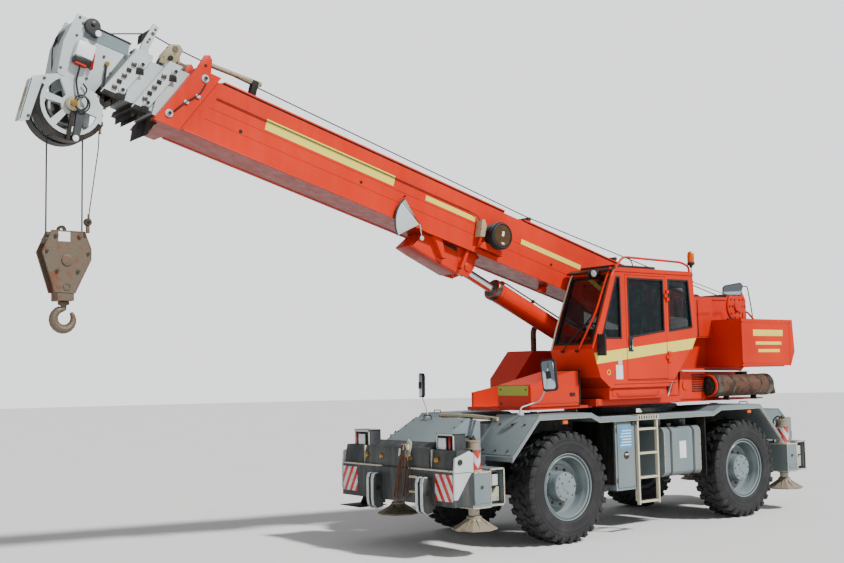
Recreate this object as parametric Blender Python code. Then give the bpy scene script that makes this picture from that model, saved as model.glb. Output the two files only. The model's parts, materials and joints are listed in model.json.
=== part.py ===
"""Two-axle rough-terrain mobile crane: carrier, slewing upper works, telescopic boom and hook.

Metres, +Z up, +X to the front (boom side), +Y to the left (cab side). Heights count from the ground.
Lengths along the machine count from the slewing axis, and the empty "machine" moves that axis back,
so that the whole machine stands centred on the origin.
"""
from math import atan2, cos, hypot, pi, radians, sin

import bmesh
import bpy
from mathutils import Vector

# Clearances
SEAT = 0.0003          # between pieces that touch
RUN = 0.0005           # at bearings and slides
CLEAR = 0.005          # between pieces that move past each other

# Carrier
CENTRE_SHIFT = 2.467   # slewing axis to the middle of the machine's length
HALF_WIDTH = 1.25
WHEELBASE = 3.87
TYRE_RADIUS = 0.7475
TYRE_HALF_WIDTH = 0.215
RIM_RADIUS = 0.42
RIM_HALF_WIDTH = 0.186
WHEEL_Y = 1.0
KINGPIN_Y = 0.72
FRAME_HALF = 0.42
FRAME_BOTTOM = 0.95
FRAME_TOP = 1.60
FENDER_TOP = 1.725
WALKWAY_TOP = 1.65
DECK_THICKNESS = 0.06
SPINDLE_RADIUS = 0.055
ROUND_SIDES = 24

# Outriggers: two side-by-side cross tubes at each end, the left beam in one and the right in the other
AXLE = WHEELBASE / 2             # each axle stands this far from the slewing axis
FRONT_TUBES = (AXLE + 1.24, AXLE + 1.505)    # near and far tube, from the slewing axis
REAR_TUBES = (AXLE + 1.345, AXLE + 1.61)
TUBE_HALF = 0.125
TUBE_WALL = 0.02
TUBE_BOTTOM = 0.61
TUBE_TOP = 1.08
TUBE_END = 1.15
JACK_Y = 1.0
JACK_TOP = 1.44
JACK_RADIUS = 0.095
LEG_RADIUS = 0.065
PAD_RADIUS = 0.29
PAD_BOTTOM = 0.325

# Upper works
RING_TOP = 1.7497
BASE_TOP = 1.82
WEB_INNER = 0.30
CHEEK_INNER = 0.46
CHEEK_OUTER = 0.50
WINCH = (-2.90, 3.35)
CAB_RIGHT = 0.36
CAB_LEFT = 1.20
CAB_FLOOR = 2.05
CAB_TOP = 3.70
WALL = 0.05
DOOR_REAR = -0.19
DOOR_FRONT = 0.685
DOOR_BOTTOM = 2.145
DOOR_TOP = 3.655
HINGE_X = -0.20
HINGE_Y = 1.215

# Boom: lengths along it count from its foot pin, heights from its centreline
BOOM_FOOT = (-2.55, 2.92)
BOOM_ANGLE = radians(15.1)
BOOM_HALF_WIDTH = 0.28
BOOM_HALF_DEPTH = 0.3575
BOOM_WALL = 0.02
BASE_LENGTH = 9.80
FOOT_PIN = 0.06
RAKE = 0.43            # forward lean of each collar's lower edge, per metre of depth
SECTIONS = {           # half width, half depth, tail, collar back and front at the centreline
    "boom_section_2": (0.245, 0.32, 0.90, 10.245, 10.415),
    "boom_section_3": (0.21, 0.28, 1.05, 10.578, 10.798),
}
HEAD_TUBE = (0.175, 0.24, 1.20)
SHEAVE = (11.175, -0.56)
SHEAVE_RADIUS = 0.215
GUARD_RADIUS = 0.40
FALL_OFFSET = 0.20
ROPE_RADIUS = 0.009
EYE = (5.34, -0.57)

# Luffing cylinder
CYLINDER_FOOT = (-0.45, 2.304)
BARREL_RADIUS = 0.145
ROD_RADIUS = 0.07
ROD_SHOWN = 0.65
RETRACTION = 0.52      # how much further the rod can go in

# Hook block
BLOCK_TOP = 3.92
SWIVEL_Z = 3.16
HOOK_MIDDLE = 2.965
HOOK_RADIUS = 0.11

FINISHES = {           # base colour, roughness, metallic
    "red": ((0.78, 0.06, 0.02), 0.40, 0.0),
    "grey": ((0.34, 0.39, 0.40), 0.50, 0.0),
    "dark": ((0.06, 0.07, 0.08), 0.60, 0.0),
    "pale": ((0.60, 0.65, 0.65), 0.45, 0.0),
    "cream": ((0.62, 0.60, 0.50), 0.50, 0.0),
    "rubber": ((0.015, 0.015, 0.015), 0.90, 0.0),
    "chrome": ((0.75, 0.75, 0.75), 0.15, 1.0),
    "steel": ((0.30, 0.28, 0.26), 0.45, 0.8),
    "rust": ((0.17, 0.10, 0.07), 0.80, 0.3),
    "glass": ((0.20, 0.28, 0.30), 0.05, 0.0),
    "plastic": ((0.03, 0.03, 0.035), 0.55, 0.0),
}


# ---- shapes -------------------------------------------------------------------------------------
def solid(bm):
    """A scratch object from a bmesh whose faces are made to point out."""
    bmesh.ops.recalc_face_normals(bm, faces=bm.faces)
    mesh = bpy.data.meshes.new("scratch")
    bm.to_mesh(mesh)
    bm.free()
    item = bpy.data.objects.new("scratch", mesh)
    bpy.context.scene.collection.objects.link(item)
    return item


def prism(outline, low, high, axis="Y"):
    """An outline pushed along an axis: (x, z) points along Y, (y, z) along X, (x, y) along Z."""
    def place(point, along):
        first, second = point
        if axis == "Y":
            return (first, along, second)
        if axis == "X":
            return (along, first, second)
        return (first, second, along)

    bm = bmesh.new()
    ends = [[bm.verts.new(place(point, along)) for point in outline] for along in (low, high)]
    count = len(outline)
    for index in range(count):
        following = (index + 1) % count
        bm.faces.new((ends[0][index], ends[0][following], ends[1][following], ends[1][index]))
    bm.faces.new(ends[0])
    bm.faces.new(ends[1])
    return solid(bm)


def block(x, y, z):
    """A box from its three (low, high) pairs."""
    return prism([(x[0], z[0]), (x[1], z[0]), (x[1], z[1]), (x[0], z[1])], y[0], y[1])


def turned(profile, axis, centre=(0, 0, 0), sides=ROUND_SIDES, closed=False):
    """A profile of (radius, along) points spun round an axis through a centre."""
    def place(radius, along, angle):
        first = radius * cos(angle)
        second = radius * sin(angle)
        offset = {"X": (along, first, second), "Y": (second, along, first), "Z": (first, second, along)}
        return Vector(centre) + Vector(offset[axis])

    bm = bmesh.new()
    rings = []
    for radius, along in profile:
        if radius < 1e-6:
            rings.append([bm.verts.new(place(0, along, 0))])
        else:
            rings.append([bm.verts.new(place(radius, along, 2 * pi * k / sides)) for k in range(sides)])
    pairs = list(zip(rings, rings[1:]))
    if closed:
        pairs.append((rings[-1], rings[0]))
    for one, two in pairs:
        for k in range(sides):
            after = (k + 1) % sides
            if len(one) == 1:
                bm.faces.new((one[0], two[k], two[after]))
            elif len(two) == 1:
                bm.faces.new((one[k], two[0], one[after]))
            else:
                bm.faces.new((one[k], two[k], two[after], one[after]))
    return solid(bm)


def rod(axis, centre, radius, low, high, sides=20):
    """A plain round bar along an axis, from low to high past its centre."""
    return turned([(0, low), (radius, low), (radius, high), (0, high)], axis, centre, sides)


def swept(path, radii, sides=12):
    """A round bar of changing radius along a path in the XZ plane."""
    bm = bmesh.new()
    rings = []
    for index, (x, z) in enumerate(path):
        before = path[max(index - 1, 0)]
        after = path[min(index + 1, len(path) - 1)]
        heading = Vector((after[0] - before[0], 0, after[1] - before[1])).normalized()
        side = Vector((0, 1, 0))
        up = heading.cross(side)
        centre = Vector((x, 0, z))
        ring = []
        for k in range(sides):
            angle = 2 * pi * k / sides
            ring.append(bm.verts.new(centre + radii[index] * (cos(angle) * side + sin(angle) * up)))
        rings.append(ring)
    for one, two in zip(rings, rings[1:]):
        for k in range(sides):
            after = (k + 1) % sides
            bm.faces.new((one[k], one[after], two[after], two[k]))
    bm.faces.new(rings[0])
    bm.faces.new(rings[-1])
    return solid(bm)


def arc(centre, radius, start, end, steps):
    """Points on a circle, from one angle to another in degrees."""
    points = []
    for k in range(steps + 1):
        angle = radians(start + (end - start) * k / steps)
        points.append((centre[0] + radius * cos(angle), centre[1] + radius * sin(angle)))
    return points


def inset(outline, distance):
    """The outline moved inwards by a distance; its points run anticlockwise."""
    moved = []
    count = len(outline)
    for index in range(count):
        a, b, c = (Vector(outline[(index + step) % count]) for step in (-1, 0, 1))
        first = (b - a).normalized()
        second = (c - b).normalized()
        normal_one = Vector((-first.y, first.x))
        normal_two = Vector((-second.y, second.x))
        corner = (normal_one + normal_two).normalized()
        moved.append(tuple(b + corner * distance / corner.dot(normal_one)))
    return moved


def paint(name, finish):
    colour, roughness, metallic = FINISHES[finish]
    material = bpy.data.materials.new(name)
    material.use_nodes = True
    shader = material.node_tree.nodes["Principled BSDF"]
    shader.inputs["Base Color"].default_value = (*colour, 1.0)
    shader.inputs["Roughness"].default_value = roughness
    shader.inputs["Metallic"].default_value = metallic
    material.diffuse_color = (*colour, 1.0)
    return material


def tidy(mesh):
    """Joins points that a union left a hair apart."""
    bm = bmesh.new()
    bm.from_mesh(mesh)
    bmesh.ops.remove_doubles(bm, verts=bm.verts, dist=2e-5)
    bmesh.ops.dissolve_degenerate(bm, edges=bm.edges, dist=1e-5)
    bm.to_mesh(mesh)
    bm.free()


def build(name, finish, parent, solids, cuts=()):
    """One named piece: the union of its solids, less its cuts, in its parent's frame."""
    body = solids[0]
    for operation, tools in (("UNION", solids[1:]), ("DIFFERENCE", cuts)):
        for tool in tools:
            modifier = body.modifiers.new(operation, "BOOLEAN")
            modifier.operation = operation
            modifier.solver = "EXACT"
            modifier.object = tool
    bpy.context.view_layer.update()
    shape = body.evaluated_get(bpy.context.evaluated_depsgraph_get())
    mesh = bpy.data.meshes.new_from_object(shape)
    mesh.name = name
    tidy(mesh)
    mesh.shade_smooth()
    mesh.set_sharp_from_angle(angle=radians(35))
    mesh.materials.clear()
    mesh.materials.append(paint(name, finish))
    for scratch in [*solids, *cuts]:
        bpy.data.objects.remove(scratch)
    item = bpy.data.objects.new(name, mesh)
    bpy.context.scene.collection.objects.link(item)
    item.parent = parent
    return item


def frame_at(name, parent=None, location=(0, 0, 0), rotation=(0, 0, 0)):
    """An empty that holds a body at its joint."""
    empty = bpy.data.objects.new(name, None)
    empty.location = location
    empty.rotation_euler = rotation
    empty.parent = parent
    bpy.context.scene.collection.objects.link(empty)
    return empty


def both_sides(low, high):
    """The (low, high) pairs of a pair of walls, left and right of the middle."""
    return ((low, high), (-high, -low))


# ---- carrier ------------------------------------------------------------------------------------
def chassis_frame(machine):
    front = FRONT_TUBES[0] - TUBE_HALF - SEAT
    rear = -REAR_TUBES[0] + TUBE_HALF + SEAT
    beam = block((rear, front), (-FRAME_HALF, FRAME_HALF), (FRAME_BOTTOM, FRAME_TOP))
    gearbox = block((-0.95, 0.95), (-0.36, 0.36), (0.62, FRAME_BOTTOM + 0.05))
    seat = WALKWAY_TOP + RUN
    ring = turned([(0, 1.5), (0.41, 1.5), (0.41, seat), (0.55, seat), (0.55, RING_TOP), (0, RING_TOP)], "Z")
    build("chassis_frame", "grey", machine, [beam, gearbox, ring])


def outrigger_box(machine, name, tubes, end):
    """Two cross tubes fixed side by side; end is +1 at the front and -1 at the rear."""
    near, far = tubes
    right = -1 if end > 0 else 1

    def across(low, high, direction):
        return (low, high) if direction > 0 else (-high, -low)

    def along(low, high):
        return (low, high) if end > 0 else (-high, -low)

    heights = (TUBE_BOTTOM, TUBE_TOP)
    cavity = (TUBE_BOTTOM + TUBE_WALL, TUBE_TOP - TUBE_WALL)
    housing_side = JACK_Y - 0.19
    near_span = across(-TUBE_END, housing_side, right)
    far_span = across(-TUBE_END, housing_side, -right)
    near_tube = block(along(near - TUBE_HALF, near + TUBE_HALF), near_span, heights)
    far_tube = block(along(near + TUBE_HALF - TUBE_WALL, far + TUBE_HALF), far_span, heights)
    half = TUBE_HALF - TUBE_WALL
    holes = [block(along(x - half, x + half), (-1.4, 1.4), cavity) for x in (near, far)]
    return build(name, "grey", machine, [near_tube, far_tube], holes)


def fender_outline():
    """The deck's side line from front to rear, over both wheels."""
    front = [(1.065, 1.206), (0.565, FENDER_TOP), (-0.417, FENDER_TOP), (-0.585, WALKWAY_TOP)]
    rear = [(0.785, WALKWAY_TOP), (0.598, FENDER_TOP), (-0.397, FENDER_TOP), (-0.915, 1.2)]
    return [(AXLE + x, z) for x, z in front] + [(-AXLE + x, z) for x, z in rear]


def deck(machine, name, side):
    top = fender_outline()
    outline = top + [(x, z - DECK_THICKNESS) for x, z in reversed(top)]
    low, high = sorted((side * (FRAME_HALF + SEAT), side * HALF_WIDTH))
    build(name, "grey", machine, [prism(outline, low, high)])


def front_apron(machine):
    face = FRONT_TUBES[1] + TUBE_HALF + SEAT
    nose = FRONT_TUBES[1] + 0.51
    back = FRONT_TUBES[0] - 0.115
    top = TUBE_TOP + SEAT
    seat = block((face, nose - 0.25), (-0.78, 0.78), (0.66, 1.30))
    bumper = block((nose - 0.33, nose), (-1.22, 1.22), (0.65, top))
    body = prism([(nose - 0.33, 1.0), (nose - 0.02, 1.0), (nose - 0.07, 1.34), (nose - 0.33, 1.34)],
                 -1.20, 1.20)
    hood = prism([(back, top), (nose - 0.03, top), (nose - 0.05, 1.35), (back + 0.19, 1.70), (back, 1.66)],
                 -0.42, 0.70)
    lamps = [block((nose - 0.32, nose - 0.13), span, (1.20, 1.54)) for span in both_sides(0.74, 1.08)]
    hooks = [block((nose - 0.05, nose + 0.13), (y - 0.02, y + 0.02), (0.60, 0.97))
             for y in (-0.40, -0.30, 0.66, 0.76)]
    side = block((nose - 0.65, nose - 0.25), (-1.25, -1.215), (0.66, 1.30))
    build("front_apron", "grey", machine, [seat, bumper, body, hood, side, *lamps, *hooks])


def rear_apron(machine):
    face = -REAR_TUBES[1] - TUBE_HALF - SEAT
    front = -REAR_TUBES[0] + 0.12
    tail = -REAR_TUBES[1] - 0.295
    top = TUBE_TOP + SEAT
    panel = block((tail - 0.01, face), (-0.78, 0.78), (0.65, 1.45))
    hood = prism([(front, top), (front, 1.60), (tail + 0.24, 1.60), (tail, 1.40), (tail, top)], -0.70, 0.70)
    build("rear_apron", "grey", machine, [panel, hood])


def axle(machine, name, x):
    level = TYRE_RADIUS
    tube = rod("Y", (x, 0, level), 0.11, -0.60, 0.60)
    bulge = turned([(0, -0.2), (0.13, -0.19), (0.19, -0.08), (0.19, 0.08), (0.13, 0.19), (0, 0.2)],
                   "Y", (x, 0, level), 18)
    yokes = []
    for inner, outer in both_sides(0.56, 0.77):
        yokes.append(block((x - 0.09, x + 0.09), (inner, outer), (level - 0.21, level + 0.21)))
    gaps = [block((x - 0.2, x + 0.2), span, (level - 0.16, level + 0.16)) for span in both_sides(0.62, 1.0)]
    seats = []
    for span in both_sides(0.24, 0.38):
        seats.append(block((x - 0.12, x + 0.12), span, (level - 0.03, FRAME_BOTTOM - SEAT)))
    build(name, "dark", machine, [tube, bulge, *yokes, *seats], gaps)


def knuckle(parent, name, side):
    """Steering knuckle about its kingpin: post, brake drum and wheel spindle."""
    offset = WHEEL_Y - KINGPIN_Y
    post = rod("Z", (0, 0, 0), 0.075, -0.16 + RUN, 0.16 - RUN)
    spindle = sorted((0, side * (offset + 0.06)))
    drum = sorted((side * (offset - 0.12), side * (offset - 0.05)))
    stub = rod("Y", (0, 0, 0), SPINDLE_RADIUS, *spindle)
    brake = rod("Y", (0, 0, 0), 0.22, *drum)
    build(name, "dark", parent, [post, stub, brake])


def rim(parent, name, side):
    flange = RIM_RADIUS + 0.03
    bead = RIM_HALF_WIDTH - 0.0057
    bore = SPINDLE_RADIUS + 0.0007
    profile = [(0, 0.165), (0.085, 0.165), (0.10, 0.13), (0.18, 0.115), (0.19, 0.075), (0.37, 0.075),
               (RIM_RADIUS - 0.03, 0.10), (RIM_RADIUS - 0.02, RIM_HALF_WIDTH), (flange, RIM_HALF_WIDTH),
               (flange, bead), (RIM_RADIUS, bead), (RIM_RADIUS, -bead), (flange, -bead),
               (flange, -RIM_HALF_WIDTH), (RIM_RADIUS - 0.02, -RIM_HALF_WIDTH), (RIM_RADIUS - 0.03, 0.04),
               (0.20, 0.045), (0.10, -0.03), (bore, -0.03), (bore, 0.0605), (0, 0.0605)]
    build(name, "pale", parent, [turned([(r, side * y) for r, y in profile], "Y")])


def tyre(parent, name):
    bead = RIM_RADIUS + SEAT
    flange = RIM_RADIUS + 0.0306
    inside = RIM_HALF_WIDTH - 0.006
    crown = TYRE_RADIUS
    half = [(bead, inside), (flange, inside), (flange + 0.006, TYRE_HALF_WIDTH - 0.015),
            (0.60 * crown + 0.07, TYRE_HALF_WIDTH - 0.002), (crown - 0.12, TYRE_HALF_WIDTH),
            (crown - 0.045, TYRE_HALF_WIDTH - 0.01), (crown - 0.012, TYRE_HALF_WIDTH - 0.04),
            (crown, TYRE_HALF_WIDTH - 0.095)]
    profile = half + [(r, -y) for r, y in reversed(half)]
    build(name, "rubber", parent, [turned(profile, "Y", closed=True)])


def wheel_end(machine, corner, x, side):
    kingpin = frame_at(corner + "_kingpin", machine, (x, side * KINGPIN_Y, TYRE_RADIUS))
    knuckle(kingpin, corner + "_knuckle", side)
    hub = frame_at(corner + "_hub", kingpin, (0, side * (WHEEL_Y - KINGPIN_Y), 0))
    rim(hub, corner + "_rim", side)
    tyre(hub, corner + "_tyre")


def outrigger(machine, corner, tubes, end, far, side):
    """A beam with its jack tube, and the leg that slides down out of it."""
    near_x, far_x = tubes
    centre = far_x if far else near_x
    jack = centre + 0.01 if far else centre - 0.02
    low, high = (near_x + TUBE_HALF + CLEAR, far_x + 0.16) if far else (near_x - 0.155, near_x + 0.10)
    bottom = TUBE_BOTTOM + TUBE_WALL + RUN
    top = TUBE_TOP - TUBE_WALL - CLEAR
    slide = frame_at(corner + "_beam_slide", machine, (end * jack, side * JACK_Y, 0))

    def along(a, b):
        return tuple(sorted((end * (a - jack), end * (b - jack))))

    def across(a, b):
        return tuple(sorted((side * (a - JACK_Y), side * (b - JACK_Y))))

    arm = block(along(centre - 0.10, centre + 0.10), across(-1.05, JACK_Y), (bottom, top))
    housing = block(along(low, high), across(JACK_Y - 0.18, JACK_Y + 0.17), (0.60, 1.05))
    tube = rod("Z", (0, 0, 0), JACK_RADIUS, 0.58, JACK_TOP)
    bore = rod("Z", (0, 0, 0), LEG_RADIUS + 0.0007, 0.4, JACK_TOP - 0.04)
    build(corner + "_outrigger_beam", "grey", slide, [arm, housing, tube], [bore])
    drop = frame_at(corner + "_leg_slide", slide)
    shaft = rod("Z", (0, 0, 0), LEG_RADIUS, PAD_BOTTOM + 0.05, JACK_TOP - 0.06)
    pad = turned([(0, PAD_BOTTOM), (PAD_RADIUS, PAD_BOTTOM), (PAD_RADIUS, PAD_BOTTOM + 0.02),
                  (0.13, PAD_BOTTOM + 0.11), (0.09, PAD_BOTTOM + 0.15), (0, PAD_BOTTOM + 0.15)],
                 "Z", sides=8)
    build(corner + "_jack_leg", "steel", drop, [shaft, pad])


def tool_locker(machine):
    build("tool_locker", "grey", machine,
          [block((0.58 + SEAT, 1.0), (FRAME_HALF + SEAT, 1.20), (0.62, WALKWAY_TOP - DECK_THICKNESS - SEAT))])


def access_ladder(machine):
    top = WALKWAY_TOP - DECK_THICKNESS - SEAT
    rails = [block((x, x + 0.03), (1.20, 1.245), (0.40, top)) for x in (0.134, 0.55)]
    rungs = [block((0.15, 0.56), (1.18, 1.24), (z, z + 0.03)) for z in (0.42, 0.76, 1.10, 1.44)]
    build("access_ladder", "cream", machine, [*rails, *rungs])


def side_tank(machine, name, x, side, finish):
    """A tank hung under the walkway against the frame."""
    outline = [(0.48, 0.80), (0.54, 0.74), (1.13, 0.74), (1.19, 0.80), (1.19, 1.39), (1.13, 1.45),
               (0.54, 1.45), (0.48, 1.39)]
    shell = prism([(side * y, z) for y, z in outline], x[0], x[1], "X")
    top = WALKWAY_TOP - DECK_THICKNESS - SEAT
    hangers = []
    for start in (x[0] + 0.10, x[1] - 0.16):
        span = tuple(sorted((side * 0.60, side * 1.0)))
        hangers.append(block((start, start + 0.06), span, (1.40, top)))
    build(name, finish, machine, [shell, *hangers])


# ---- upper works --------------------------------------------------------------------------------
def turntable_frame(slew):
    base = turned([(0, RING_TOP + RUN), (0.62, RING_TOP + RUN), (0.62, BASE_TOP), (0, BASE_TOP)], "Z")
    floor = block((-2.20, 2.38), (-0.34, 0.34), (1.77, BASE_TOP))
    rear_floor = block((-2.30, -0.96), (-0.48, 0.48), (1.80, 1.88))
    webs = []
    for span in both_sides(WEB_INNER, WEB_INNER + 0.04):
        outline = [(2.30, 1.80), (2.30, 2.02), (1.20, 2.20), (-0.20, 2.45), (-1.20, 2.60), (-1.20, 1.80)]
        webs.append(prism(outline, *span))
    ties = [block((-1.20, -0.97), span, (1.80, 2.45)) for span in both_sides(WEB_INNER, CHEEK_OUTER)]
    cheeks = []
    for span in both_sides(CHEEK_INNER, CHEEK_OUTER):
        outline = [(-0.97, 1.80), (-0.97, 2.60), (-1.12, 3.45), (-2.62, 3.47), (-2.75, 3.585),
                   (-3.02, 3.585), (-3.12, 3.44), (-3.14, 2.40), (-2.25, 1.80)]
        cheeks.append(prism(outline, *span))
    back = block((-3.14, -3.10), (-0.47, 0.47), (2.42, 3.02))
    lugs = []
    foot_x, foot_z = CYLINDER_FOOT
    for span in both_sides(BARREL_RADIUS + 0.008, BARREL_RADIUS + 0.045):
        outline = [(foot_x - 0.26, 1.80), (foot_x + 0.26, 1.80), (foot_x + 0.13, foot_z),
                   (foot_x + 0.06, foot_z + 0.12), (foot_x - 0.06, foot_z + 0.12), (foot_x - 0.13, foot_z)]
        lugs.append(prism(outline, *span))
    pin = rod("Y", (BOOM_FOOT[0], 0, BOOM_FOOT[1]), FOOT_PIN, -0.48, 0.48)
    bosses = []
    for low, high in both_sides(BOOM_HALF_WIDTH + CLEAR, CHEEK_INNER + 0.01):
        bosses.append(rod("Y", (BOOM_FOOT[0], 0, BOOM_FOOT[1]), 0.13, low, high))
    step = block((-0.64, 1.20), (0.33, 1.05), (1.80, 1.90))
    skirt = block((-0.19, 1.04), (0.37, 1.16), (1.89, CAB_FLOOR - SEAT))
    nose_floor = block((1.15, 2.38), (0.33, 0.93), (1.78, BASE_TOP))
    side_floor = block((-1.30, -0.60), (0.47, 0.98), (1.80, 1.84))
    right_floor = block((-1.85, 1.30), (-1.08, -0.33), (1.80, 1.84))
    build("turntable_frame", "red", slew,
          [floor, base, rear_floor, *webs, *ties, *cheeks, back, *lugs, pin, *bosses, step, skirt,
           nose_floor, side_floor, right_floor])


def counterweight(slew):
    outline = [(-2.0, 2.32), (-2.0, 3.07), (-3.38, 3.07), (-3.42, 2.55), (-3.30, 2.32)]
    slab = prism(outline, -1.20, 1.20)
    slot = block((-3.14 - SEAT, -1.5), (-CHEEK_OUTER - SEAT, CHEEK_OUTER + SEAT), (2.0, 3.3))
    build("counterweight", "red", slew, [slab], [slot])


def nose_cover(slew):
    outline = [(1.42, BASE_TOP + SEAT), (2.40, BASE_TOP + SEAT), (2.40, 2.12), (1.55, 2.30), (1.42, 2.30)]
    build("nose_cover", "red", slew, [prism(outline, WEB_INNER + 0.04 + SEAT, 0.95)])


def left_housing(slew):
    outline = [(-0.66, 1.84 + SEAT), (-0.66, 2.28), (-0.70, 2.30), (-1.30, 2.30), (-1.30, 1.84 + SEAT)]
    build("left_housing", "red", slew, [prism(outline, CHEEK_OUTER + SEAT, 1.0)])


def right_housing(slew):
    outline = [(1.28, 1.84 + SEAT), (1.28, 2.20), (0.90, 2.62), (-1.80, 2.62), (-1.80, 1.84 + SEAT)]
    build("right_housing", "red", slew, [prism(outline, -1.08, -CHEEK_OUTER - SEAT)])


def muffler(slew):
    profile = [(0, -2.80), (0.13, -2.80), (0.17, -2.76), (0.17, -1.36), (0.14, -1.30 - SEAT),
               (0, -1.30 - SEAT)]
    build("muffler", "rust", slew, [turned(profile, "X", (0, 1.05, 2.03), 24)])


def winch_drum(slew):
    spin = frame_at("winch_axis", slew, (WINCH[0], 0, WINCH[1]))
    end = CHEEK_INNER - RUN
    half = [(0.05, end), (0.05, 0.38), (0.24, 0.38), (0.24, 0.36), (0.17, 0.36)]
    profile = [(0, end), *half, *[(r, -y) for r, y in reversed(half)], (0, -end)]
    build("winch_drum", "steel", spin, [turned(profile, "Y", sides=24)])


# ---- cab ----------------------------------------------------------------------------------------
def cab_outline(top):
    """The cab's side outline, anticlockwise, cut level at a height."""
    lean = (0.90 - 1.38) / (3.75 - 2.60)
    return [(-0.20, CAB_FLOOR), (1.049, CAB_FLOOR), (1.25, 2.20), (1.316, 2.39), (1.38, 2.60),
            (1.38 + lean * (top - 2.60), top), (-0.84, top), (-0.90, 2.88), (-0.88, 2.75),
            (-0.366, 2.18)]


def screen_outline(start, end, depth, behind=0.0):
    """A slab along the sloping front, between two shares of its length, from behind it outwards."""
    bottom = Vector((1.38, 2.60))
    run = Vector((1.38 + (0.90 - 1.38) / 1.15 * 1.10, 3.70)) - bottom
    out = Vector((run.y, -run.x)).normalized()
    corners = [(start, -behind), (end, -behind), (end, depth - behind), (start, depth - behind)]
    return [tuple(bottom + run * share + out * off) for share, off in corners]


QUARTER_WINDOW = [(0.80, 2.75), (1.20, 2.75), (0.87, 3.62), (0.80, 3.62)]
REAR_WINDOW = [(-0.78, 2.92), (-0.26, 2.86), (-0.26, 3.62), (-0.72, 3.62)]
DOOR_WINDOW = [(-0.14, 2.86), (0.63, 2.76), (0.63, 3.61), (-0.14, 3.61)]


def cab_body(slew):
    shell = prism(cab_outline(CAB_TOP), CAB_RIGHT, CAB_LEFT)
    hollow = prism(inset(cab_outline(CAB_TOP + 0.3), WALL), CAB_RIGHT + WALL, CAB_LEFT - WALL)
    doorway = block((DOOR_REAR - CLEAR, DOOR_FRONT + CLEAR), (CAB_LEFT - WALL - 0.01, CAB_LEFT + 0.1),
                    (DOOR_BOTTOM - CLEAR, DOOR_TOP + CLEAR))
    side_windows = [prism(outline, CAB_LEFT - WALL - 0.02, CAB_LEFT + 0.02)
                    for outline in (QUARTER_WINDOW, REAR_WINDOW)]
    right_window = block((-0.70, 0.72), (CAB_RIGHT - 0.02, CAB_RIGHT + WALL + 0.02), (2.90, 3.60))
    screen = prism(screen_outline(0.07, 0.95, 0.30, 0.15), CAB_RIGHT + 0.06, CAB_LEFT - 0.06)
    rear = block((-1.0, -0.80), (0.50, 1.05), (3.05, 3.55))
    hinges = []
    for level in (2.45, 3.35):
        for low, high in ((level - 0.05, level - RUN), (level + 0.06 + RUN, level + 0.11)):
            hinges.append(rod("Z", (HINGE_X, HINGE_Y, 0), 0.012, low, high, 12))
            hinges.append(block((HINGE_X - 0.07, HINGE_X), (CAB_LEFT - 0.01, HINGE_Y + 0.004),
                                (low + 0.002, high - 0.002)))
    build("cab_body", "red", slew, [shell, *hinges],
          [hollow, doorway, *side_windows, right_window, screen, rear])


def cab_roof(slew):
    outline = [(-0.85, CAB_TOP + SEAT), (0.93, CAB_TOP + SEAT), (0.90, 3.76), (-0.82, 3.76)]
    build("cab_roof", "red", slew, [prism(outline, CAB_RIGHT - 0.01, CAB_LEFT + 0.01)])


def windshield(slew):
    pane = screen_outline(0.0705, 0.9495, 0.012, 0.03)
    build("windshield", "glass", slew, [prism(pane, CAB_RIGHT + 0.06 + SEAT, CAB_LEFT - 0.06 - SEAT)])


def side_pane(parent, name, outline):
    build(name, "glass", parent, [prism(inset(outline, SEAT), CAB_LEFT - 0.032, CAB_LEFT - 0.02)])


def operator_seat(slew):
    floor = CAB_FLOOR + WALL + SEAT
    build("operator_seat", "plastic", slew, [
        block((0.12, 0.42), (0.64, 0.92), (floor, 2.48)),
        block((0.02, 0.54), (0.55, 1.01), (2.44, 2.58)),
        prism([(0.02, 2.50), (0.14, 2.50), (0.02, 3.22), (-0.10, 3.22)], 0.56, 1.0)])


def control_console(slew):
    floor = CAB_FLOOR + WALL + SEAT
    outline = [(0.76, floor), (0.96, floor), (1.08, 2.60), (0.94, 2.78), (0.84, 2.74)]
    build("control_console", "plastic", slew, [prism(outline, 0.50, 1.06)])


def cab_door(slew):
    hinge = frame_at("door_hinge", slew, (HINGE_X, HINGE_Y, 0))

    def shift(outline):
        return [(x - HINGE_X, z) for x, z in outline]

    y = (CAB_LEFT - WALL - HINGE_Y, CAB_LEFT - HINGE_Y)
    leaf = block((DOOR_REAR - HINGE_X, DOOR_FRONT - HINGE_X), y, (DOOR_BOTTOM, DOOR_TOP))
    window = prism(shift(DOOR_WINDOW), y[0] - 0.02, y[1] + 0.02)
    lugs = []
    for level in (2.45, 3.35):
        lugs.append(rod("Z", (0, 0, 0), 0.012, level, level + 0.06, 12))
        lugs.append(block((0.012, 0.045), (y[1] - 0.01, 0.004), (level + 0.002, level + 0.058)))
        lugs.append(block((0, 0.02), (-0.009, 0.003), (level + 0.004, level + 0.056)))
    build("cab_door", "red", hinge, [leaf, *lugs], [window])
    pane = prism(shift(inset(DOOR_WINDOW, SEAT)), y[0] + 0.018, y[0] + 0.03)
    build("door_glass", "glass", hinge, [pane])


# ---- boom ---------------------------------------------------------------------------------------
def raked(back, front, half_depth):
    """A collar's side outline, its lower edge leaning forward."""
    lean = RAKE * half_depth
    return [(back - lean, half_depth), (front - lean, half_depth), (front + lean, -half_depth),
            (back + lean, -half_depth)]


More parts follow.
